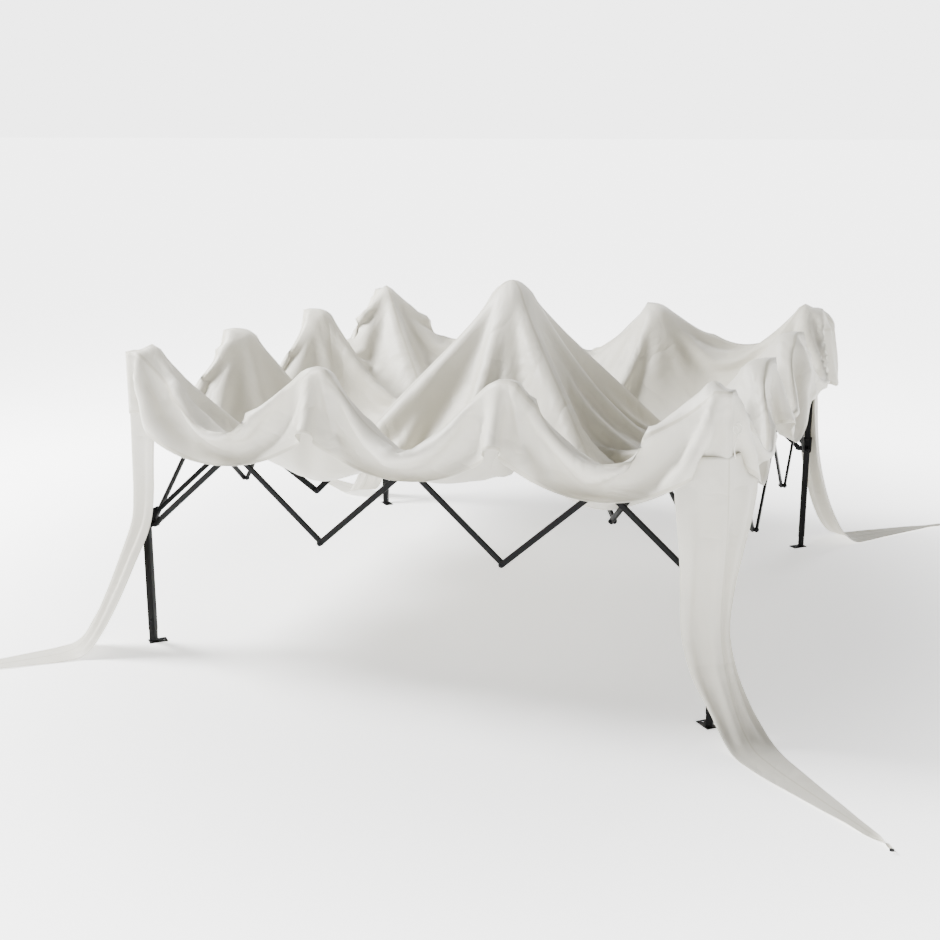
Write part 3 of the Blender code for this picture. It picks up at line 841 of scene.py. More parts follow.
@dataclass
class LegsAndJoints:
    """The telescopic legs, their feet, the top brackets, the sliders and the hub."""

    steel: bpy.types.Material
    nylon: bpy.types.Material
    zinc: bpy.types.Material
    leg_side: float = 0.030
    leg_wall: float = 0.0012
    leg_low: float = 0.055
    leg_corner: float = 0.0035
    above_pivot: float = 0.0233
    button_up: float = 0.045
    slider_face: float = 0.021
    pin_up: float = 0.022
    soften: float = 0.0012
    foot_soften: float = 0.0008
    merge: float = 1e-5
    flat_angle: float = 1.0
    sharp_angle: float = 30.0
    rounded_angle: float = 35.0

    def softened(self, node: str, body: str, material: bpy.types.Material, width: float) -> None:
        """Copies a moulding or a pressing, merges it and rounds its edges.

        Args:
            node: the solid that the copy stands for.
            body: the body that it rides on.
            material: its finish.
            width: how far the rounding goes back from an edge.
        """
        source = frame["nodes"][node]
        mesh = source.data.copy()
        builder = bmesh.new()
        builder.from_mesh(mesh)
        bmesh.ops.transform(builder, matrix=source.matrix_world, verts=builder.verts[:])
        bmesh.ops.remove_doubles(builder, verts=builder.verts[:], dist=self.merge)
        bmesh.ops.dissolve_limit(builder, angle_limit=math.radians(self.flat_angle), verts=builder.verts[:],
                                 edges=builder.edges[:])
        bmesh.ops.recalc_face_normals(builder, faces=builder.faces[:])
        builder.to_mesh(mesh)
        builder.free()
        mesh.materials.clear()
        mesh.materials.append(material)
        mesh.shade_smooth()
        mesh.set_sharp_from_angle(angle=math.radians(self.sharp_angle))
        piece = link_object(f"{node}_moulded", mesh)
        rounding = piece.modifiers.new("Rounded edges", "BEVEL")
        rounding.width = width
        rounding.segments = 2
        rounding.limit_method = "ANGLE"
        rounding.angle_limit = math.radians(self.rounded_angle)
        rounding.harden_normals = False
        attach(piece, body)
        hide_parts(node)
        LOG.info("%s: softened from its solid, rides on %s", piece.name, body)

    def leg(self, index: int) -> None:
        """Makes a leg's outer tube with rounded corners, and the spring button near its lower end."""
        corner, matrix = CORNERS[index], side_frame(index)
        top = SIZES.top_z + self.above_pivot
        inside = self.leg_side - 2 * self.leg_wall
        points, quads = box_tube(self.leg_side, inside, self.leg_corner, self.leg_low, top)
        tube = put_mesh(f"leg_{corner}_tube", [(moved(points, matrix), quads)], self.steel, f"corner_{corner}")
        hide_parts(f"leg_{corner}")
        face = self.leg_side / 2
        button = [(0.0, face - 0.001), (0.0042, face - 0.001), (0.0042, face + 0.0022), (0.0034, face + 0.0034),
                  (0.0, face + 0.004)]
        ring = [(0.0045, face - 0.0004), (0.0068, face - 0.0004), (0.0068, face + 0.0005), (0.0045, face + 0.0005),
                (0.0045, face - 0.0004)]
        at = (0.0, self.leg_low + self.button_up)
        shapes = [faced(lathe(profile, at), matrix, Face.OUTER) for profile in (button, ring)]
        pin = put_mesh(f"leg_{corner}_spring_button", shapes, self.zinc, f"corner_{corner}")

    def slider_lock(self, index: int) -> None:
        """Makes the slider's pull pin: a round boss with a ring knob on its outer face."""
        corner, matrix = CORNERS[index], side_frame(index)
        face = self.slider_face
        knob = [(0.0, face - 0.001), (0.0085, face - 0.001), (0.0085, face + 0.0018), (0.0055, face + 0.0022),
                (0.0055, face + 0.0036), (0.0078, face + 0.0042), (0.0078, face + 0.0056), (0.0, face + 0.0062)]
        shape = faced(lathe(knob, (0.0, SIZES.low_z + self.pin_up)), matrix, Face.OUTER)
        piece = put_mesh(f"slider_{corner}_pull_pin", [shape], self.nylon, f"slider_{corner}")

    def build(self) -> None:
        """Builds the four corners and the hub."""
        for index, corner in enumerate(CORNERS):
            self.leg(index)
            self.softened(f"foot_{corner}", f"foot_{corner}", self.steel, self.foot_soften)
            self.softened(f"top_bracket_{corner}", f"corner_{corner}", self.nylon, self.soften)
            self.softened(f"slider_{corner}", f"slider_{corner}", self.nylon, self.soften)
            self.slider_lock(index)
        self.softened("hub", "hub", self.nylon, self.soften)


# ---------------------------------------------------------------------------------------------------------------
# The cloth


@dataclass
class SlackCloth:
    """A sheet of cloth that is let down until it hangs: points joined by threads of fixed length.

    Each round lets the points fall a little, then pulls every thread back towards its cut length. The pull on
    a point is the mean of what its threads ask, so a whole round is a few sums over arrays. Threads run along
    the weave, across its squares and over two squares; the last keep the cloth from creasing sharply.
    """

    points: Array
    cut: Array
    links: Array
    stiff: Array
    held: Array
    home: Array
    kept_speed: float = 0.96
    top_speed: float = 0.02
    eager: float = 1.7

    def settle(self, rounds: int, passes: int, fall: float, keep_out: "Supports") -> Array:
        """Lets the cloth settle.

        Args:
            rounds: how many times it falls.
            passes: how many times the threads pull in each round.
            fall: how far a free point falls in the first round, in metres.
            keep_out: what the cloth can't pass through.

        Returns:
            The settled points.
        """
        first, second = self.links[:, 0], self.links[:, 1]
        length = np.linalg.norm(self.cut[first] - self.cut[second], axis=1)
        ends = np.concatenate([first, second])
        count = np.bincount(ends, weights=np.tile(self.stiff, 2), minlength=len(self.points))
        speed = np.zeros_like(self.points)
        for _ in range(rounds):
            speed *= self.kept_speed
            speed[:, 2] -= fall
            guess = self.points + speed
            for _ in range(passes):
                line = guess[second] - guess[first]
                size = np.linalg.norm(line, axis=1) + 1e-12
                pull = line * (0.5 * self.stiff * (size - length) / size)[:, None]
                both = np.concatenate([pull, -pull])
                sums = [np.bincount(ends, weights=part, minlength=len(guess)) for part in both.T]
                shift = np.stack(sums, axis=1)
                guess += self.eager * shift / count[:, None]
                guess = keep_out.push(guess)
                guess[self.held] = self.home[self.held]
            speed = np.clip(guess - self.points, -self.top_speed, self.top_speed)
            self.points = guess
        return self.points


@dataclass
class Supports:
    """What the canopy rests on: the bars, the rafters, the brackets and the hub, as heights that it stays above.

    Sizes that end in reach say how far from its middle a support counts, those in round how fast it falls with
    the square of the distance, and those in fall how fast it falls beside its flat top.
    """

    roof: Array
    wall_x: Array
    wall_y: Array
    clear: float = 0.006
    plateau: float = 0.034
    fall: float = 3.0
    bar_reach: float = 0.05
    joint_rise: float = 0.030
    joint_flat: float = 0.012
    joint_reach: float = 0.075
    joint_round: float = 7.5
    rafter_rise: float = 0.0185
    rafter_reach: float = 0.08
    dome_clear: float = 0.0035
    hub_rise: float = 0.02
    hub_reach: float = 0.09
    horn_z: float = 1.2815
    horn_reach: float = 0.05
    horn_round: float = 18.0
    cap_z: float = 1.2575
    cap_inwards: float = 0.035
    cap_flat: float = 0.032
    cap_reach: float = 0.10
    cap_fall: float = 2.0
    wall_clear: float = 0.009

    def push(self, points: Array) -> Array:
        """Lifts or moves out the points that are inside the frame.

        The lowest height allowed at a point is the highest of what lies under it: the crossed bars in the
        sides' planes, the rafters in the diagonal ones, the brackets' horns and the hub's dome. Beside a bar the
        height falls off steeply, so the cloth folds over it.

        Args:
            points: the cloth's points.

        Returns:
            The corrected points.
        """
        s = SIZES
        ax, ay = np.abs(points[:, 0]), np.abs(points[:, 1])
        slope = math.tan(s.angle)
        inner = s.half - s.corner_pivot
        top = s.top_z + s.bar_width / 2 / math.cos(s.angle) + self.clear
        rests = []
        for across, out in ((ax, ay), (ay, ax)):
            away = np.abs(out - s.half)
            joint = np.abs(across - s.step / 2)
            run = np.minimum(joint, np.abs(across - inner))
            rests.append((away < self.plateau + self.bar_reach,
                          top - slope * run - self.fall * np.maximum(0.0, away - self.plateau)))
            reach = np.hypot(joint, np.maximum(0.0, away - self.joint_flat))
            rests.append((reach < self.joint_reach, s.top_z + self.joint_rise - self.joint_round * reach**2))
        along = (2 * s.half - ax - ay) / math.sqrt(2)
        off = np.abs(ax - ay) / math.sqrt(2)
        (r0, z0), (r1, z1), (r2, z2) = s.rafter_top, s.knee, s.hub
        rafter = np.where(along < r1, z0 + (z1 - z0) * (along - r0) / (r1 - r0),
                          z1 + (z2 - z1) * (along - r1) / (r2 - r1))
        rafter += self.rafter_rise + self.clear - self.fall * np.maximum(0.0, off - self.plateau)
        rests.append(((off < self.rafter_reach) & (along > r0), rafter))
        centre = np.hypot(points[:, 0], points[:, 1])
        dome = s.tip_z + self.dome_clear - self.joint_round * centre**2
        rests.append((centre < self.hub_reach, np.maximum(dome, s.hub[1] + self.hub_rise)))
        horn = np.hypot(ax - inner, ay - inner)
        rests.append((horn < self.horn_reach, self.horn_z - self.horn_round * horn**2))
        cap = np.maximum(ax, ay) - s.half
        rests.append(((np.minimum(ax, ay) > s.half - self.cap_inwards) & (cap < self.cap_reach),
                      self.cap_z - self.cap_fall * np.maximum(0.0, cap - self.cap_flat)))
        low = np.max([np.where(where, height, -1.0) for where, height in rests], axis=0)
        fixed = points.copy()
        fixed[:, 2] = np.where(self.roof, np.maximum(points[:, 2], low), points[:, 2])
        side = s.half + s.layer_far + self.wall_clear
        for axis, wall in ((0, self.wall_x), (1, self.wall_y)):
            value = fixed[:, axis]
            fixed[:, axis] = np.where(wall != 0, np.maximum(value * wall, side) * wall, value)
        return fixed


# The rays of the centre peak: bearing in degrees, height of the crest and how far it reaches, in metres.
PEAK_FOLDS = ((-128.0, 0.016, 0.85), (-103.0, 0.014, 0.75), (-78.0, 0.013, 0.8), (-57.0, 0.017, 0.95),
              (-22.0, 0.014, 0.8), (12.0, 0.012, 0.7), (52.0, 0.013, 0.8), (96.0, 0.012, 0.75),
              (140.0, 0.013, 0.8), (176.0, 0.014, 0.8), (-158.0, 0.015, 0.85))

# The folds below each side's joints, in metres: start and end as (along the side, below the eaves), then the
# width and the height of the crest.
SIDE_FOLDS = (((-0.365, -0.03), (-0.195, 0.25), 0.022, 0.034), ((-0.405, 0.00), (-0.475, 0.20), 0.026, 0.022),
              ((0.405, -0.04), (0.570, 0.25), 0.022, 0.038), ((0.455, -0.06), (0.650, 0.21), 0.020, 0.026),
              ((0.355, 0.00), (0.280, 0.20), 0.028, 0.022), ((-0.62, -0.02), (-0.74, 0.20), 0.034, 0.020),
              ((0.98, -0.04), (0.78, 0.22), 0.030, 0.024), ((0.90, -0.05), (0.70, 0.12), 0.024, 0.016),
              ((-1.02, -0.05), (-0.84, 0.20), 0.030, 0.024), ((0.02, -0.20), (-0.06, 0.18), 0.034, 0.018))


def rim_of(grid: Array) -> Array:
    """Walks round the edge of a square grid, from its first corner on."""
    return np.concatenate([grid[0, :-1], grid[:-1, -1], grid[-1, :0:-1], grid[:0:-1, 0]])


@dataclass
class Canopy:
    """The slack canopy: a square roof for the fully open frame, with a short straight valance on all four sides.

    Heights end in z, and all sizes are in metres.
    """

    cells: int = 32
    cell: float = 0.077
    open_spacing: float = 3.0
    pitch: float = 0.32
    valance: float = 0.250
    rows: int = 3
    thick: float = 0.0009
    hem_width: float = 0.010
    belly_z: float = 0.93
    peak_spread: float = 0.42
    peak_reach: float = 0.045
    peak_clear: float = 0.004
    peak_round: float = 7.5
    joint_z: float = 1.2405
    joint_out: float = 0.026
    horn_z: float = 1.283
    seam_z: float = 1.258
    seam_drop: float = 0.256
    hem_z: float = 1.002
    hem_flat: float = 0.118
    flap_out: float = 0.045
    flap_drop: float = 0.125
    flap_swing: float = 0.055
    flap_back: float = 0.4
    on_line: float = 0.002
    ray_from: float = 0.05
    ray_grows: float = 0.12
    ray_width: float = 0.014
    ray_widens: float = 0.045
    side_reach: float = 0.35
    fold_grows: float = 0.04
    fold_fades: float = 0.05
    gather_reach: float = 0.26
    gather_seam: float = 0.05
    gather_above: float = 0.02
    gather_grows: float = 0.10
    gather_crest: float = 0.007
    gather_pitch: float = 0.085
    hub_share_reach: float = 0.9
    hub_share_power: float = 1.1
    slider_share: float = 0.85
    slider_share_from: float = 1.23
    slider_share_over: float = 0.33

    @property
    def edge(self) -> float:
        """Half the side of the square that the eaves stand on now."""
        return self.cell * self.cells / 2

    @property
    def cut_edge(self) -> float:
        """Half the side of the roof's flat cut."""
        return float(self.opened(np.array([self.edge]))[0])

    def opened(self, place: Array) -> Array:
        """Gives where a line of the cloth lies on the fully open frame.

        Between the corner joints the cloth is spread by the ratio of the open step to the present one; outside
        them it keeps its width.

        Args:
            place: a coordinate along one side now.

        Returns:
            The coordinate on the open frame.
        """
        inner = SIZES.half - SIZES.corner_pivot
        wide = self.open_spacing / 2 - SIZES.corner_pivot
        return np.clip(place, -inner, inner) * wide / inner + (place - np.clip(place, -inner, inner))

    def layout(self, level: int) -> dict[str, Array]:
        """Lays out the canopy's grid at one fineness.

        Args:
            level: how many points a coarse cell's side is cut into.

        Returns:
            The points now, their places in the cut, the rings of the valance, the roof's grid, the quads, how
            many of them are the roof's, the links and their stiffness.
        """
        n = self.cells * level
        rows = self.rows * level
        line = np.linspace(-self.edge, self.edge, n + 1)
        y, x = np.meshgrid(line, line, indexing="ij")
        roof = np.arange((n + 1) ** 2).reshape(n + 1, n + 1)
        rim = rim_of(roof)
        flat_x, flat_y = self.opened(x), self.opened(y)
        rise = self.pitch * (1 - np.maximum(np.abs(flat_x), np.abs(flat_y)) / self.cut_edge)
        now = np.stack([x, y, np.zeros_like(x)], axis=-1).reshape(-1, 3)
        cut = np.stack([flat_x, flat_y, rise], axis=-1).reshape(-1, 3)
        drop = np.arange(1, rows + 1) / rows
        hang = np.repeat(cut[rim][None], rows, axis=0)
        hang[:, :, 2] -= self.valance * drop[:, None]
        cut = np.concatenate([cut, hang.reshape(-1, 3)])
        now = np.concatenate([now, np.repeat(now[rim][None], rows, axis=0).reshape(-1, 3)])
        rings = np.concatenate([rim[None], (n + 1) ** 2 + np.arange(rows * len(rim)).reshape(rows, -1)])
        # The roof's quads face up, and the valance's quads face outwards.
        quads = np.stack([roof[:-1, :-1], roof[:-1, 1:], roof[1:, 1:], roof[1:, :-1]], axis=-1).reshape(-1, 4)
        after = np.roll(rings, -1, axis=1)
        wall = np.stack([rings[:-1], rings[1:], after[1:], after[:-1]], axis=-1).reshape(-1, 4)
        weave = [(roof[:, :-1], roof[:, 1:]), (roof[:-1], roof[1:]), (rings[1:], after[1:]),
                 (rings[:-1], rings[1:])]
        across = [(roof[:-1, :-1], roof[1:, 1:]), (roof[1:, :-1], roof[:-1, 1:]), (rings[:-1], after[1:]),
                  (after[:-1], rings[1:])]
        further = np.roll(rings, -2, axis=1)
        # Over the eaves, a thread also ties the second row of the roof to the first row of the valance.
        inside = np.concatenate([roof[1, :-1], roof[:-1, -2], roof[-2, :0:-1], roof[:0:-1, 1]])
        bend = [(roof[:, :-2], roof[:, 2:]), (roof[:-2], roof[2:]), (rings[1:], further[1:]),
                (rings[:-2], rings[2:]), (inside, rings[1])]
        links, stiff = [], []
        for pairs, value in ((weave, 1.0), (across, 0.22), (bend, 0.05)):
            for a, b in pairs:
                links.append(np.stack([a.reshape(-1), b.reshape(-1)], axis=1))
                stiff.append(np.full(len(links[-1]), value))
        return {"now": now, "cut": cut, "rings": rings, "roof": roof, "quads": np.concatenate([quads, wall]),
                "roof_quads": np.array(len(quads)), "links": np.concatenate(links), "stiff": np.concatenate(stiff)}

    def first_heights(self, x: Array, y: Array) -> Array:
        """Gives a first guess of the roof: a low belly with a smooth bump at each place that holds it up.

        Args:
            x: places to the right.
            y: places to the back.

        Returns:
            The heights there.
        """
        s = SIZES
        inner = s.half - s.corner_pivot
        ax, ay = np.abs(x), np.abs(y)
        belly = self.belly_z
        height = belly + (s.tip_z - belly) * np.exp(-np.hypot(x, y) / self.peak_spread)
        # Place, height and spread of the three kinds of bump: over a horn, and over a joint of either side.
        for px, py, z, spread in ((inner, inner, 1.28, 0.25), (s.step / 2, s.half, 1.24, 0.22),
                                  (s.half, s.step / 2, 1.24, 0.22)):
            height = np.maximum(height, belly + (z - belly) * np.exp(-np.hypot(ax - px, ay - py) / spread))
        return height

    def first_points(self, layout: dict[str, Array]) -> Array:
        """Gives the whole canopy's first guess: the roof as a belly with bumps, the valance straight down.

        Args:
            layout: the canopy's grid.

        Returns:
            The points.
        """
        points = layout["now"].copy()
        count = layout["roof"].size
        points[:count, 2] = self.first_heights(points[:count, 0], points[:count, 1])
        rings = layout["rings"]
        depth = np.arange(1, len(rings))[:, None] / (len(rings) - 1)
        points[rings[1:], 2] = points[rings[0], 2] - self.valance * depth
        return points

    def holds(self, layout: dict[str, Array]) -> tuple[Array, Array]:
        """Finds which points are held, and where.

        The roof is held at its middle, at the two upper joints of each side and at each corner. The valance is
        held down each corner, where the tail's weight draws it straight, and along its hem there.

        Args:
            layout: the canopy's grid.

        Returns:
            A mask of the held points and the points' homes.
        """
        s = SIZES
        now = layout["now"]
        home = now.copy()
        held = np.zeros(len(now), dtype=bool)
        ax, ay = np.abs(now[:, 0]), np.abs(now[:, 1])
        in_roof = np.arange(len(now)) < layout["roof"].size
        inner = s.half - s.corner_pivot

        centre = np.hypot(now[:, 0], now[:, 1])
        peak = in_roof & (centre < self.peak_reach)
        home[peak, 2] = s.tip_z + self.peak_clear - self.peak_round * centre[peak] ** 2
        held |= peak
        for across, out, axis in ((ax, ay, 1), (ay, ax, 0)):
            joint = in_roof & (np.abs(across - s.step / 2) < self.on_line) & (out > self.edge - self.on_line)
            home[joint, 2] = self.joint_z
            home[joint, axis] = np.sign(now[joint, axis]) * (s.half + self.joint_out)
            held |= joint
        # At the back right the cloth has slipped outwards, so a cell further in lies over the horn.
        slipped = (now[:, 0] > 0) & (now[:, 1] > 0)
        over = np.where(slipped, inner - self.cell, inner)
        horn = in_roof & (np.hypot(ax - over, ay - over) < self.on_line)
        home[horn] = np.column_stack([np.sign(now[horn, :2]) * inner, np.full(horn.sum(), self.horn_z)])
        held |= horn
        outer = in_roof & (ax > self.edge - self.on_line) & (ay > self.edge - self.on_line)
        home[outer, 2] = self.seam_z
        held |= outer

        rings = layout["rings"]
        depth = np.arange(1, len(rings))[:, None] / (len(rings) - 1)
        tops = now[rings[0]]
        away = np.maximum(self.edge - np.abs(tops[:, 0]), self.edge - np.abs(tops[:, 1]))
        column = rings[1:][:, away < self.on_line]
        home[column, 2] = self.seam_z - self.seam_drop * depth
        held[column.reshape(-1)] = True
        hem = rings[-1][away < self.hem_flat]
        home[hem, 2] = self.hem_z
        held[hem] = True
        # At the back right the valance hangs like a flap, further out and lower.
        swing = slipped & held & (~in_roof | outer)
        home[swing, 0] += self.flap_out + self.flap_swing * (self.seam_z - home[swing, 2]) / self.seam_drop
        home[swing, 1] += self.flap_back * self.flap_out
        home[swing, 2] -= self.flap_drop
        return held, home

    def settled(self) -> tuple[Array, dict[str, Array]]:
        """Lets the canopy down in three steps, from a coarse grid to a fine one.

        The coarse grid finds the broad swags, and each finer one starts from it and adds its smaller folds.
        A small fixed unevenness lets the folds fall to either side.

        Returns:
            The settled points and the finest grid.
        """
        uneven = np.random.default_rng(17)
        points = None
        # Level, rounds, passes in a round and fall in a round, in metres, of each step.
        steps = ((1, 260, 14, 0.0022), (2, 150, 14, 0.0009), (4, 70, 12, 0.0002))
        for level, rounds, passes, fall in steps:
            layout = self.layout(level)
            start = self.first_points(layout) if points is None else self.refined(points, self.cells * level // 2)
            start += uneven.normal(0.0, 0.012 / level**2, start.shape)
            held, home = self.holds(layout)
            start[held] = home[held]
            roof = np.arange(len(start)) < layout["roof"].size
            rings = layout["rings"]
            tops = layout["now"][rings[0]]
            walls = []
            for axis in (0, 1):
                wall = np.zeros(len(start))
                on_edge = np.abs(tops[:, axis]) > self.edge - self.on_line
                wall[rings] = np.where(on_edge, np.sign(tops[:, axis]), 0.0)
                walls.append(wall)
            sheet = SlackCloth(start, layout["cut"], layout["links"], layout["stiff"], held, home)
            points = sheet.settle(rounds, passes, fall, Supports(roof, *walls))
            first, second = layout["links"].T
            size = np.linalg.norm(points[first] - points[second], axis=1)
            want = np.linalg.norm(layout["cut"][first] - layout["cut"][second], axis=1)
            LOG.info("canopy, step %d: threads at %.3f of their cut length", level, float(np.mean(size / want)))
        return points, layout

    def refined(self, points: Array, n: int) -> Array:
        """Carries settled points over to a grid twice as fine, halfway points between their neighbours.

        Args:
            points: the settled points of the coarser grid.
            n: its cells along a side.

        Returns:
            The finer grid's first points.
        """
        roof = points[: (n + 1) ** 2].reshape(n + 1, n + 1, 3)
        rows = (len(points) - (n + 1) ** 2) // (4 * n)
        walls = np.concatenate([rim_of(roof)[None], points[(n + 1) ** 2 :].reshape(rows, 4 * n, 3)])

        def halved(block: Array, axis: int, closed: bool) -> Array:
            """Puts a halfway slice between each two slices along one axis."""
            block = np.moveaxis(block, axis, 0)
            after = np.roll(block, -1, axis=0)
            middle = (block + after) / 2
            both = np.stack([block, middle], axis=1).reshape(-1, *block.shape[1:])
            return np.moveaxis(both if closed else both[:-1], 0, axis)

        fine_roof = halved(halved(roof, 0, False), 1, False)
        fine_walls = halved(halved(walls, 0, False), 1, True)
        return np.concatenate([fine_roof.reshape(-1, 3), fine_walls[1:].reshape(-1, 3)])

    def creased(self, points: Array, layout: dict[str, Array]) -> Array:
        """Draws the sharper folds that run from the places where the cloth hangs.

        A fold is a line in the cloth with a crest whose height falls off on both sides. From the centre peak the
        folds spread like rays and grow wider outwards. From each upper joint of a side a pair of them runs down
        the valance to the lowest place of the swag. At each corner the valance is gathered in small waves.

        Args:
            points: the settled points.
            layout: the canopy's grid.

        Returns:
            The points, moved along the cloth's normals.
        """
        quads = layout["quads"]
        across = np.cross(points[quads[:, 2]] - points[quads[:, 0]], points[quads[:, 3]] - points[quads[:, 1]])
        normal = np.zeros_like(points)
        for k in range(4):
            np.add.at(normal, quads[:, k], across)
        normal /= np.linalg.norm(normal, axis=1, keepdims=True) + 1e-12
        now, rings = layout["now"], layout["rings"]
        lift = np.zeros(len(points))
        from_peak = np.hypot(now[:, 0], now[:, 1])
        bearing = np.degrees(np.arctan2(now[:, 1], now[:, 0]))
        for angle, gain, reach in PEAK_FOLDS:
            off = np.radians((bearing - angle + 180.0) % 360.0 - 180.0) * from_peak
            fade = np.clip((from_peak - self.ray_from) / self.ray_grows, 0.0, 1.0)
            fade = fade * np.clip(1.0 - from_peak / reach, 0.0, 1.0) ** 0.5
            lift += gain * fade * np.exp(-np.abs(off) / (self.ray_width + self.ray_widens * from_peak))
        down = np.zeros(len(points))
        down[rings] = (self.valance * np.arange(len(rings)) / (len(rings) - 1))[:, None]
        for index in range(4):
            local = (now @ side_frame(index)[:3, :3])[:, :2]
            outward = -local[:, 1]
            along = local[:, 0]
            deep = down - (self.edge - outward)
            near = outward > self.edge - self.side_reach
            for start, end, width, gain in SIDE_FOLDS:
                line = np.array(end) - np.array(start)
                length = float(np.hypot(*line))
                unit = line / length
                step = np.stack([along - start[0], deep - start[1]], axis=1)
                run = step @ unit
                off = step[:, 0] * unit[1] - step[:, 1] * unit[0]
                fade = np.clip(run / self.fold_grows, 0.0, 1.0)
                fade = fade * np.clip((length - run) / self.fold_fades, 0.0, 1.0)
                lift += np.where(near, gain * fade * np.exp(-np.abs(off) / width), 0.0)
            from_corner = self.edge - np.abs(along)
            gather = np.clip(1.0 - from_corner / self.gather_reach, 0.0, 1.0)
            gather = gather * np.clip(from_corner / self.gather_seam, 0.0, 1.0)
            gather *= np.clip((deep + self.gather_above) / self.gather_grows, 0.0, 1.0)
            waves = 1 + np.cos(2 * math.pi * from_corner / self.gather_pitch)
            lift += self.gather_crest * gather * waves * (deep > -self.gather_above)
        return points + normal * lift[:, None]

    def weights(self, points: Array, layout: dict[str, Array]) -> dict[str, Array]:
        """Works out how much of each moving body a point of the cloth follows when the frame folds.

        Along the plan a point follows the four corners by how near it is to each, as in a square stretched at
        its corners. The deeper it hangs below the upper joints, the more it follows the slider of that corner
        instead, which rises and sinks as the swags do. Round the peak it follows the hub.

        Args:
            points: the settled points.
            layout: the canopy's grid.

        Returns:
            The weights by body name.
        """
        now = layout["now"]
        inner = SIZES.half - SIZES.corner_pivot
        sx, sy = np.clip(points[:, 0] / inner, -1, 1), np.clip(points[:, 1] / inner, -1, 1)
        from_hub = np.hypot(now[:, 0], now[:, 1]) / self.hub_share_reach
        hub = np.clip(1.0 - from_hub, 0.0, 1.0) ** self.hub_share_power
        deep = np.clip((self.slider_share_from - points[:, 2]) / self.slider_share_over, 0.0, 1.0)
        deep = deep * self.slider_share
        rings = layout["rings"]
        deep[rings] = deep[rings[0]][None]
        # What is left over follows the first corner, which the piece rides on.
        made = {"hub": hub}
        for corner, (cx, cy) in zip(CORNERS, CORNER_SIGNS):
            near = (1 + cx * sx) * (1 + cy * sy) / 4 * (1 - hub)
            made[f"slider_{corner}"] = near * deep
            if corner != CORNERS[0]:
                made[f"corner_{corner}"] = near * (1 - deep)
        return made

    def finish(self) -> bpy.types.Material:
        """Makes the cloth, with its seams along the eaves and the hips and its hem round the valance."""
        side = self.cut_edge
        hem = side + self.valance - self.hem_width
        return PolyesterCloth("ivory_polyester_canopy", seams=(side,), hem=hem).build()

    def build(self) -> None:
        """Builds the canopy, its cut as a UV map, and its ties to the folding frame."""
        points, layout = self.settled()
        points = self.creased(points, layout)
        quads = layout["quads"]
        mesh = bpy.data.meshes.new("canopy_cloth")
        mesh.from_pydata(points.tolist(), [], quads.tolist())
        mesh.materials.append(self.finish())
        mesh.shade_smooth()
        self.lay_out_cut(mesh, layout)
        piece = link_object("canopy_cloth", mesh)
        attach(piece, f"corner_{CORNERS[0]}")
        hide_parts("canopy")
        for body, share in self.weights(points, layout).items():
            group = piece.vertex_groups.new(name=body)
            for index in np.flatnonzero(share > 1e-4):
                group.add([int(index)], float(share[index]), "REPLACE")
            tie = piece.modifiers.new(f"Follows {body}", "HOOK")
            tie.object = frame["bodies"][body]
            tie.vertex_group = body
            tie.falloff_type = "NONE"
            tie.matrix_inverse = frame["bodies"][body].matrix_world.inverted()
        add_thickness(piece, self.thick)
        wide = 2 * self.cut_edge + 2 * self.valance

    def lay_out_cut(self, mesh: bpy.types.Mesh, layout: dict[str, Array]) -> None:
        """Writes each face's place in the flat cut as UVs, in metres, with each valance folded flat outwards."""
        cut, quads, rings = layout["cut"], layout["quads"], layout["rings"]
        roof_count = int(layout["roof_quads"])
        flat = cut[quads][:, :, :2].copy()
        per_ring = rings.shape[1]
        rows = len(rings) - 1
        column = np.tile(np.arange(per_ring), rows)
        side = column // (per_ring // 4)
        down = np.repeat(np.arange(rows), per_ring)[:, None] + np.array([[0, 1, 1, 0]])
        out = np.array([(0.0, -1.0), (1.0, 0.0), (0.0, 1.0), (-1.0, 0.0)])[side]
        flat[roof_count:] += out[:, None, :] * (down * self.valance / rows)[:, :, None]
        layer = mesh.uv_layers.new(name="cut")
        layer.data.foreach_set("uv", flat.reshape(-1).astype(np.float32))


@dataclass(frozen=True)
class TailRun:
    """How one tail falls, in metres and degrees.

    Its rows hold the outward shift, the sideways shift, the height, the two half widths, the angle of the wings
    and the roll.
    """

    corner: int
    rows: tuple[tuple[float, ...], ...]
    wave: float = 0.009


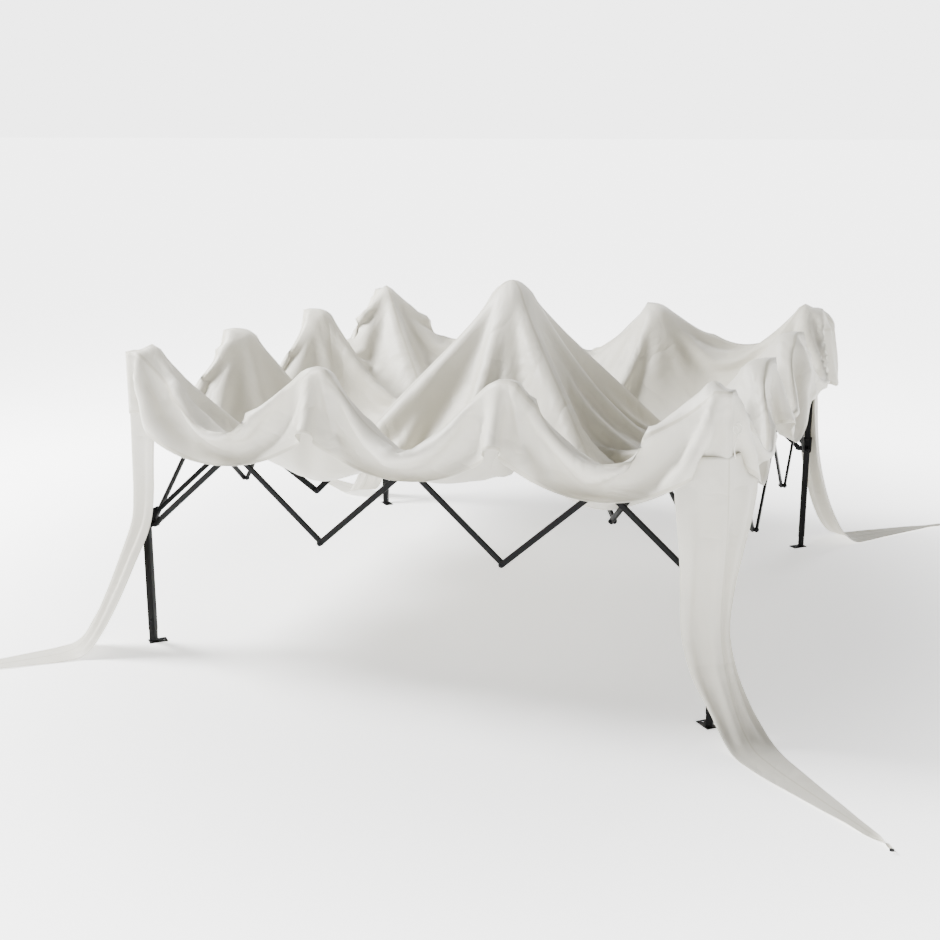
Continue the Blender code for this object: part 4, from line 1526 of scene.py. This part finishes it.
@dataclass
class Tails:
    """The four long tapered tails, each one strip with a pressed fold down its middle."""

    cloth: bpy.types.Material
    top_r: float = 1.742
    columns: int = 25
    lines: int = 150
    thick: float = 0.0012
    lowest: float = 0.0022
    hangs_over: float = 0.12
    seam_z: float = 1.0
    seam_frees: float = 0.25
    waves_across: float = 9.0
    waves_down: float = 2.2
    waves_apart: float = 2.1

    def runs(self) -> list[TailRun]:
        """Gives the four falls, from the hem to the tip."""
        front_left = (
            (-0.004, 0.0, 1.03, 0.118, 0.118, 45, 0), (-0.003, 0.0, 0.93, 0.112, 0.112, 45, 0),
            (0.000, 0.0, 0.80, 0.104, 0.104, 46, 0), (0.004, 0.0, 0.66, 0.098, 0.098, 47, 0),
            (0.018, 0.0, 0.545, 0.094, 0.094, 42, 0), (0.075, 0.0, 0.40, 0.092, 0.092, 34, 0),
            (0.140, 0.0, 0.25, 0.092, 0.094, 26, 0), (0.205, 0.0, 0.115, 0.094, 0.096, 16, 0),
            (0.262, 0.0, 0.034, 0.096, 0.096, 9, 0), (0.330, 0.002, 0.009, 0.092, 0.090, 3, 0),
            (0.430, 0.006, 0.005, 0.078, 0.076, 1, 0), (0.560, 0.012, 0.005, 0.060, 0.058, 0, 0),
            (0.690, 0.014, 0.005, 0.040, 0.040, 0, 0), (0.810, 0.010, 0.005, 0.022, 0.022, 0, 0),
            (0.900, 0.004, 0.005, 0.010, 0.010, 0, 20), (0.950, 0.0, 0.005, 0.005, 0.005, 0, 60),
        )
        front_right = (
            (0.000, 0.0, 1.03, 0.168, 0.168, 34, 0), (0.006, 0.0, 0.93, 0.190, 0.192, 24, 0),
            (0.010, 0.0, 0.80, 0.183, 0.152, 20, 0), (0.010, -0.002, 0.66, 0.165, 0.114, 22, 0),
            (0.008, -0.008, 0.52, 0.150, 0.096, 28, 0), (0.020, -0.012, 0.38, 0.142, 0.072, 30, 0),
            (0.050, -0.006, 0.25, 0.124, 0.084, 29, 0), (0.095, 0.006, 0.135, 0.094, 0.094, 21, 0),
            (0.150, 0.016, 0.050, 0.086, 0.102, 12, 0), (0.215, 0.016, 0.012, 0.086, 0.096, 5, 0),
            (0.300, 0.010, 0.007, 0.082, 0.082, 2, 0), (0.400, 0.006, 0.006, 0.074, 0.072, 0, 0),
            (0.520, 0.008, 0.006, 0.058, 0.056, 0, 0), (0.650, 0.010, 0.006, 0.042, 0.041, 0, 0),
            (0.770, 0.012, 0.006, 0.026, 0.026, 0, 0), (0.850, 0.012, 0.006, 0.014, 0.014, 5, 30),
            (0.890, 0.012, 0.0075, 0.0075, 0.0075, 20, 120), (0.925, 0.010, 0.007, 0.006, 0.006, 20, 240),
            (0.950, 0.008, 0.006, 0.0055, 0.0055, 10, 330),
        )
        back_right = (
            (-0.004, 0.0, 1.03, 0.118, 0.118, 45, 0), (-0.003, 0.0, 0.93, 0.108, 0.108, 44, 0),
            (0.002, 0.0, 0.79, 0.098, 0.098, 44, 0), (0.014, 0.0, 0.64, 0.092, 0.092, 43, 0),
            (0.036, 0.0, 0.49, 0.090, 0.090, 41, 0), (0.072, 0.0, 0.35, 0.090, 0.090, 36, 0),
            (0.122, 0.003, 0.21, 0.092, 0.092, 27, 0), (0.185, 0.008, 0.090, 0.094, 0.096, 16, 0),
            (0.250, 0.012, 0.022, 0.096, 0.096, 7, 0), (0.330, 0.014, 0.006, 0.090, 0.088, 1, 0),
            (0.460, 0.016, 0.005, 0.072, 0.070, 0, 0), (0.590, 0.016, 0.005, 0.054, 0.052, 0, 0),
            (0.720, 0.014, 0.005, 0.036, 0.036, 0, 0), (0.840, 0.008, 0.005, 0.018, 0.018, 0, 0),
            (0.950, 0.0, 0.005, 0.005, 0.005, 0, 40),
        )
        back_left = (
            (-0.004, 0.0, 1.03, 0.118, 0.118, 45, 0), (-0.003, 0.0, 0.93, 0.108, 0.108, 45, 0),
            (0.002, 0.0, 0.80, 0.096, 0.096, 45, 0), (0.010, 0.002, 0.66, 0.090, 0.090, 43, 0),
            (0.026, 0.006, 0.52, 0.086, 0.086, 40, 0), (0.055, 0.014, 0.38, 0.086, 0.086, 34, 0),
            (0.098, 0.026, 0.25, 0.088, 0.088, 27, 0), (0.150, 0.040, 0.125, 0.090, 0.090, 18, 0),
            (0.212, 0.054, 0.036, 0.092, 0.092, 9, 0), (0.285, 0.070, 0.007, 0.088, 0.086, 2, 0),
            (0.390, 0.096, 0.005, 0.074, 0.072, 0, 0), (0.510, 0.126, 0.005, 0.056, 0.054, 0, 0),
            (0.620, 0.146, 0.005, 0.038, 0.036, 0, 0), (0.720, 0.156, 0.005, 0.020, 0.020, 0, 0),
            (0.800, 0.158, 0.005, 0.006, 0.006, 0, 30),
        )
        return [TailRun(0, front_left), TailRun(1, front_right, 0.016), TailRun(2, back_right),
                TailRun(3, back_left)]

    def strip(self, run: TailRun) -> tuple[Array, Array]:
        """Shapes one tail.

        A row of the strip is two wings that meet in a fold. The fold's place, the wings' widths and their angle
        come from a smooth curve through the given rows, a roll turns the row about the run's direction, and
        shallow waves run down both wings.

        Args:
            run: how the tail falls.

        Returns:
            The grid of points and the grid of places in the flat cut.
        """
        rows = smooth_path(list(run.rows), self.lines)
        out_shift, side_shift, height, left, right, wing, roll = rows.T
        x, y = CORNER_SIGNS[run.corner]
        out = np.array([x, y, 0.0]) / math.sqrt(2)
        side = np.array([-out[1], out[0], 0.0])
        spine = out * (self.top_r + out_shift)[:, None] + side * side_shift[:, None]
        spine[:, 2] = height
        ahead = np.gradient(spine, axis=0)
        ahead /= np.linalg.norm(ahead, axis=1, keepdims=True)
        face = np.cross(side[None], ahead)
        face /= np.linalg.norm(face, axis=1, keepdims=True)
        # The face looks outwards while the strip hangs and upwards where it lies.
        face *= np.sign(face @ (out + np.array([0.0, 0.0, 1.0])))[:, None]
        share = np.linspace(-1.0, 1.0, self.columns)
        angle = np.radians(wing)[:, None]
        turn = np.radians(roll)[:, None]
        width = np.where(share[None] < 0, left[:, None], right[:, None]) * share[None]
        lateral = width * np.cos(angle)
        back = -np.abs(width) * np.sin(angle)
        run_length = np.concatenate([[0.0], np.cumsum(np.linalg.norm(np.diff(spine, axis=0), axis=1))])
        # The waves die out at the edges, near the seam, where the strip lies down and where it is narrow.
        hanging = np.clip(height / self.hangs_over, 0.0, 1.0)[:, None]
        free = np.clip((self.seam_z - height) / self.seam_frees, 0.0, 1.0)[:, None]
        wave = run.wave * np.sin(self.waves_across * share[None] + self.waves_apart * run.corner
                                 + self.waves_down * run_length[:, None])
        wave = wave * (1 - np.abs(share[None]) ** 8)
        wave = wave * hanging * free * np.clip(np.abs(width) / 0.03, 0.0, 1.0)
        back = back + wave
        offset_side = lateral * np.cos(turn) - back * np.sin(turn)
        offset_face = lateral * np.sin(turn) + back * np.cos(turn)
        points = spine[:, None] + side * offset_side[..., None] + face[:, None] * offset_face[..., None]
        points[..., 2] = np.maximum(points[..., 2], self.lowest)
        cut = np.stack([width, np.broadcast_to(run_length[:, None], width.shape)], axis=-1)
        return points, cut

    def build(self) -> None:
        """Builds the four tails, each with its cut as a UV map."""
        for run in self.runs():
            corner = CORNERS[run.corner]
            points, cut = self.strip(run)
            quads = grid_quads(self.lines, self.columns)
            mesh = bpy.data.meshes.new(f"tail_{corner}_cloth")
            mesh.from_pydata(points.reshape(-1, 3).tolist(), [], quads.tolist())
            mesh.materials.append(self.cloth)
            mesh.shade_smooth()
            layer = mesh.uv_layers.new(name="cut")
            layer.data.foreach_set("uv", cut.reshape(-1, 2)[quads].reshape(-1).astype(np.float32))
            piece = link_object(mesh.name, mesh)
            add_thickness(piece, self.thick)
            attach(piece, f"corner_{corner}")
            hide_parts(f"tail_{corner}")


@dataclass
class CornerTies:
    """The small things at the front right corner: the looped tie cord, and the eyelet in the tip of the tail."""

    cord: bpy.types.Material
    zinc: bpy.types.Material
    radius: float = 0.0022
    out: float = 1.251
    samples: int = 60
    eyelet_r: float = 2.684
    eyelet_z: float = 0.0075

    def loop(self) -> None:
        """Makes the tie cord: a small loop with a hanging end, just outside the corner seam."""
        # Shift along the seam's plane, shift outwards and height of each point, in metres.
        local = [(0.000, 0.000, 1.150), (0.010, 0.001, 1.158), (0.021, 0.002, 1.150), (0.026, 0.002, 1.136),
                 (0.020, 0.002, 1.122), (0.008, 0.001, 1.117), (-0.004, 0.001, 1.124), (-0.008, 0.001, 1.137),
                 (-0.002, 0.003, 1.147), (0.006, 0.006, 1.140), (0.008, 0.007, 1.122), (0.004, 0.005, 1.095),
                 (-0.001, 0.002, 1.070), (0.002, 0.001, 1.047), (0.007, 0.001, 1.030)]
        side = np.array([1.0, 1.0, 0.0]) / math.sqrt(2)
        away = np.array([1.0, -1.0, 0.0]) / math.sqrt(2)
        base = np.array([self.out, -self.out, 0.0])
        rows = np.array([base + side * a + away * b + np.array([0.0, 0.0, z]) for a, b, z in local])
        path = smooth_path([tuple(row) for row in rows], self.samples)
        piece = put_mesh("corner_tie_cord", [swept_tube(path, self.radius)], self.cord, f"corner_{CORNERS[1]}")

    def eyelet(self) -> None:
        """Makes the eyelet that is pressed into the tip of the front right tail."""
        reach = self.eyelet_r / math.sqrt(2)
        ring = [(0.0042, 0.0), (0.0078, 0.0), (0.0082, 0.002), (0.0074, 0.0042), (0.0046, 0.0044), (0.0042, 0.0)]
        shape, faces = lathe(ring, (0.0, 0.0))
        flat = shape[:, [0, 2, 1]] + np.array([reach, -reach, self.eyelet_z])
        piece = put_mesh("tail_front_right_eyelet", [(flat, faces)], self.zinc, f"corner_{CORNERS[1]}")

    def build(self) -> None:
        """Builds the small pieces."""
        self.loop()
        self.eyelet()


# ---------------------------------------------------------------------------------------------------------------
# The studio


@dataclass(frozen=True)
class Lamp:
    """A round soft light: its name, place, width in metres and power in watts."""

    name: str
    place: tuple[float, float, float]
    size: float
    power: float


@dataclass(frozen=True)
class Studio:
    """A pale floor, a wide soft light from the left, a faint one from behind, and the camera of the photograph."""

    lens: float = 52.19
    sensor: float = 36.0
    at: tuple[float, float, float] = (2.0455942, -5.84484535, 2.13375894)
    azimuth: float = 21.0812
    tilt: float = 14.0385
    sees_to: float = 1000.0
    floor: float = 300.0
    floor_z: float = -0.0004
    horizon: float = 4.2
    overhead: float = 0.2
    band_low: float = 0.09
    band_high: float = 0.20
    lit: tuple[float, float, float] = (0.0, 0.0, 0.9)
    lamps: tuple[Lamp, ...] = (Lamp("key", (-4.6, -0.9, 4.9), 2.4, 1350.0),
                               Lamp("back", (2.0, 5.5, 5.0), 2.5, 160.0))

    def build(self) -> None:
        """Sets up the floor, the lights, the world and the camera."""
        self.build_floor()
        self.build_lights()
        self.build_world()
        self.build_camera()

    def build_floor(self) -> None:
        """Lays one wide quad just under the feet."""
        mesh = bpy.data.meshes.new("studio_floor")
        points = [(x * self.floor, y * self.floor, self.floor_z) for x, y in CORNER_SIGNS]
        mesh.from_pydata(points, [], [(0, 1, 2, 3)])
        mesh.materials.append(StudioFloor().build())
        link_object("studio_floor", mesh)

    def build_lights(self) -> None:
        """Hangs the lamps, each turned to the middle of the tent."""
        for item in self.lamps:
            light = bpy.data.lights.new(item.name, "AREA")
            light.shape = "DISK"
            light.size = item.size
            light.energy = item.power
            lamp = link_object(item.name, light)
            lamp.location = item.place
            lamp.rotation_euler = (Vector(self.lit) - Vector(item.place)).to_track_quat("-Z", "Y").to_euler()

    def build_world(self) -> None:
        """Surrounds the studio with light that is bright along the horizon and faint overhead."""
        world = bpy.data.worlds.new("pale_studio")
        world.use_nodes = True
        tree = world.node_tree
        sky = tree.nodes["Background"]
        ahead = add_node(tree, "TexCoord").outputs["Generated"]
        rise = add_node(tree, "SeparateXYZ", {"Vector": ahead}).outputs["Z"]
        glow = add_node(tree, "MapRange", {"Value": rise, "From Min": self.band_low, "From Max": self.band_high,
                                           "To Min": self.horizon, "To Max": self.overhead},
                        interpolation_type="SMOOTHSTEP")
        sky.inputs["Color"].default_value = (1.0, 1.0, 1.0, 1.0)
        tree.links.new(glow.outputs["Result"], sky.inputs["Strength"])
        bpy.context.scene.world = world

    def build_camera(self) -> None:
        """Sets the camera where the photograph was taken."""
        camera = bpy.data.cameras.new("camera")
        camera.lens = self.lens
        camera.sensor_width = self.sensor
        camera.clip_end = self.sees_to
        viewer = link_object("camera", camera)
        azimuth, tilt = math.radians(self.azimuth), math.radians(self.tilt)
        ahead = Vector((-math.sin(azimuth) * math.cos(tilt), math.cos(azimuth) * math.cos(tilt), -math.sin(tilt)))
        viewer.location = self.at
        viewer.rotation_euler = ahead.to_track_quat("-Z", "Y").to_euler()
        bpy.context.scene.camera = viewer


def main() -> None:
    """Builds the tent around its frame, piece by piece."""
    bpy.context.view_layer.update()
    Studio().build()
    steel = PowderCoatedSteel().build()
    nylon = MouldedNylon().build()
    zinc = BlackZincSteel().build()
    cord = CordBraid().build()
    # A tail has a pressed fold down its middle, and no hem: that line is put far outside the strip.
    strip = PolyesterCloth("ivory_polyester_tail", seams=(0.0,), hem=9.0, hips=False, strip=True,
                           lap=0.006).build()
    Canopy().build()
    Tails(strip).build()
    CornerTies(cord, zinc).build()
    FoldingBars(steel, zinc).build()
    LegsAndJoints(steel, nylon, zinc).build()


if __name__ == "__main__":
    main()
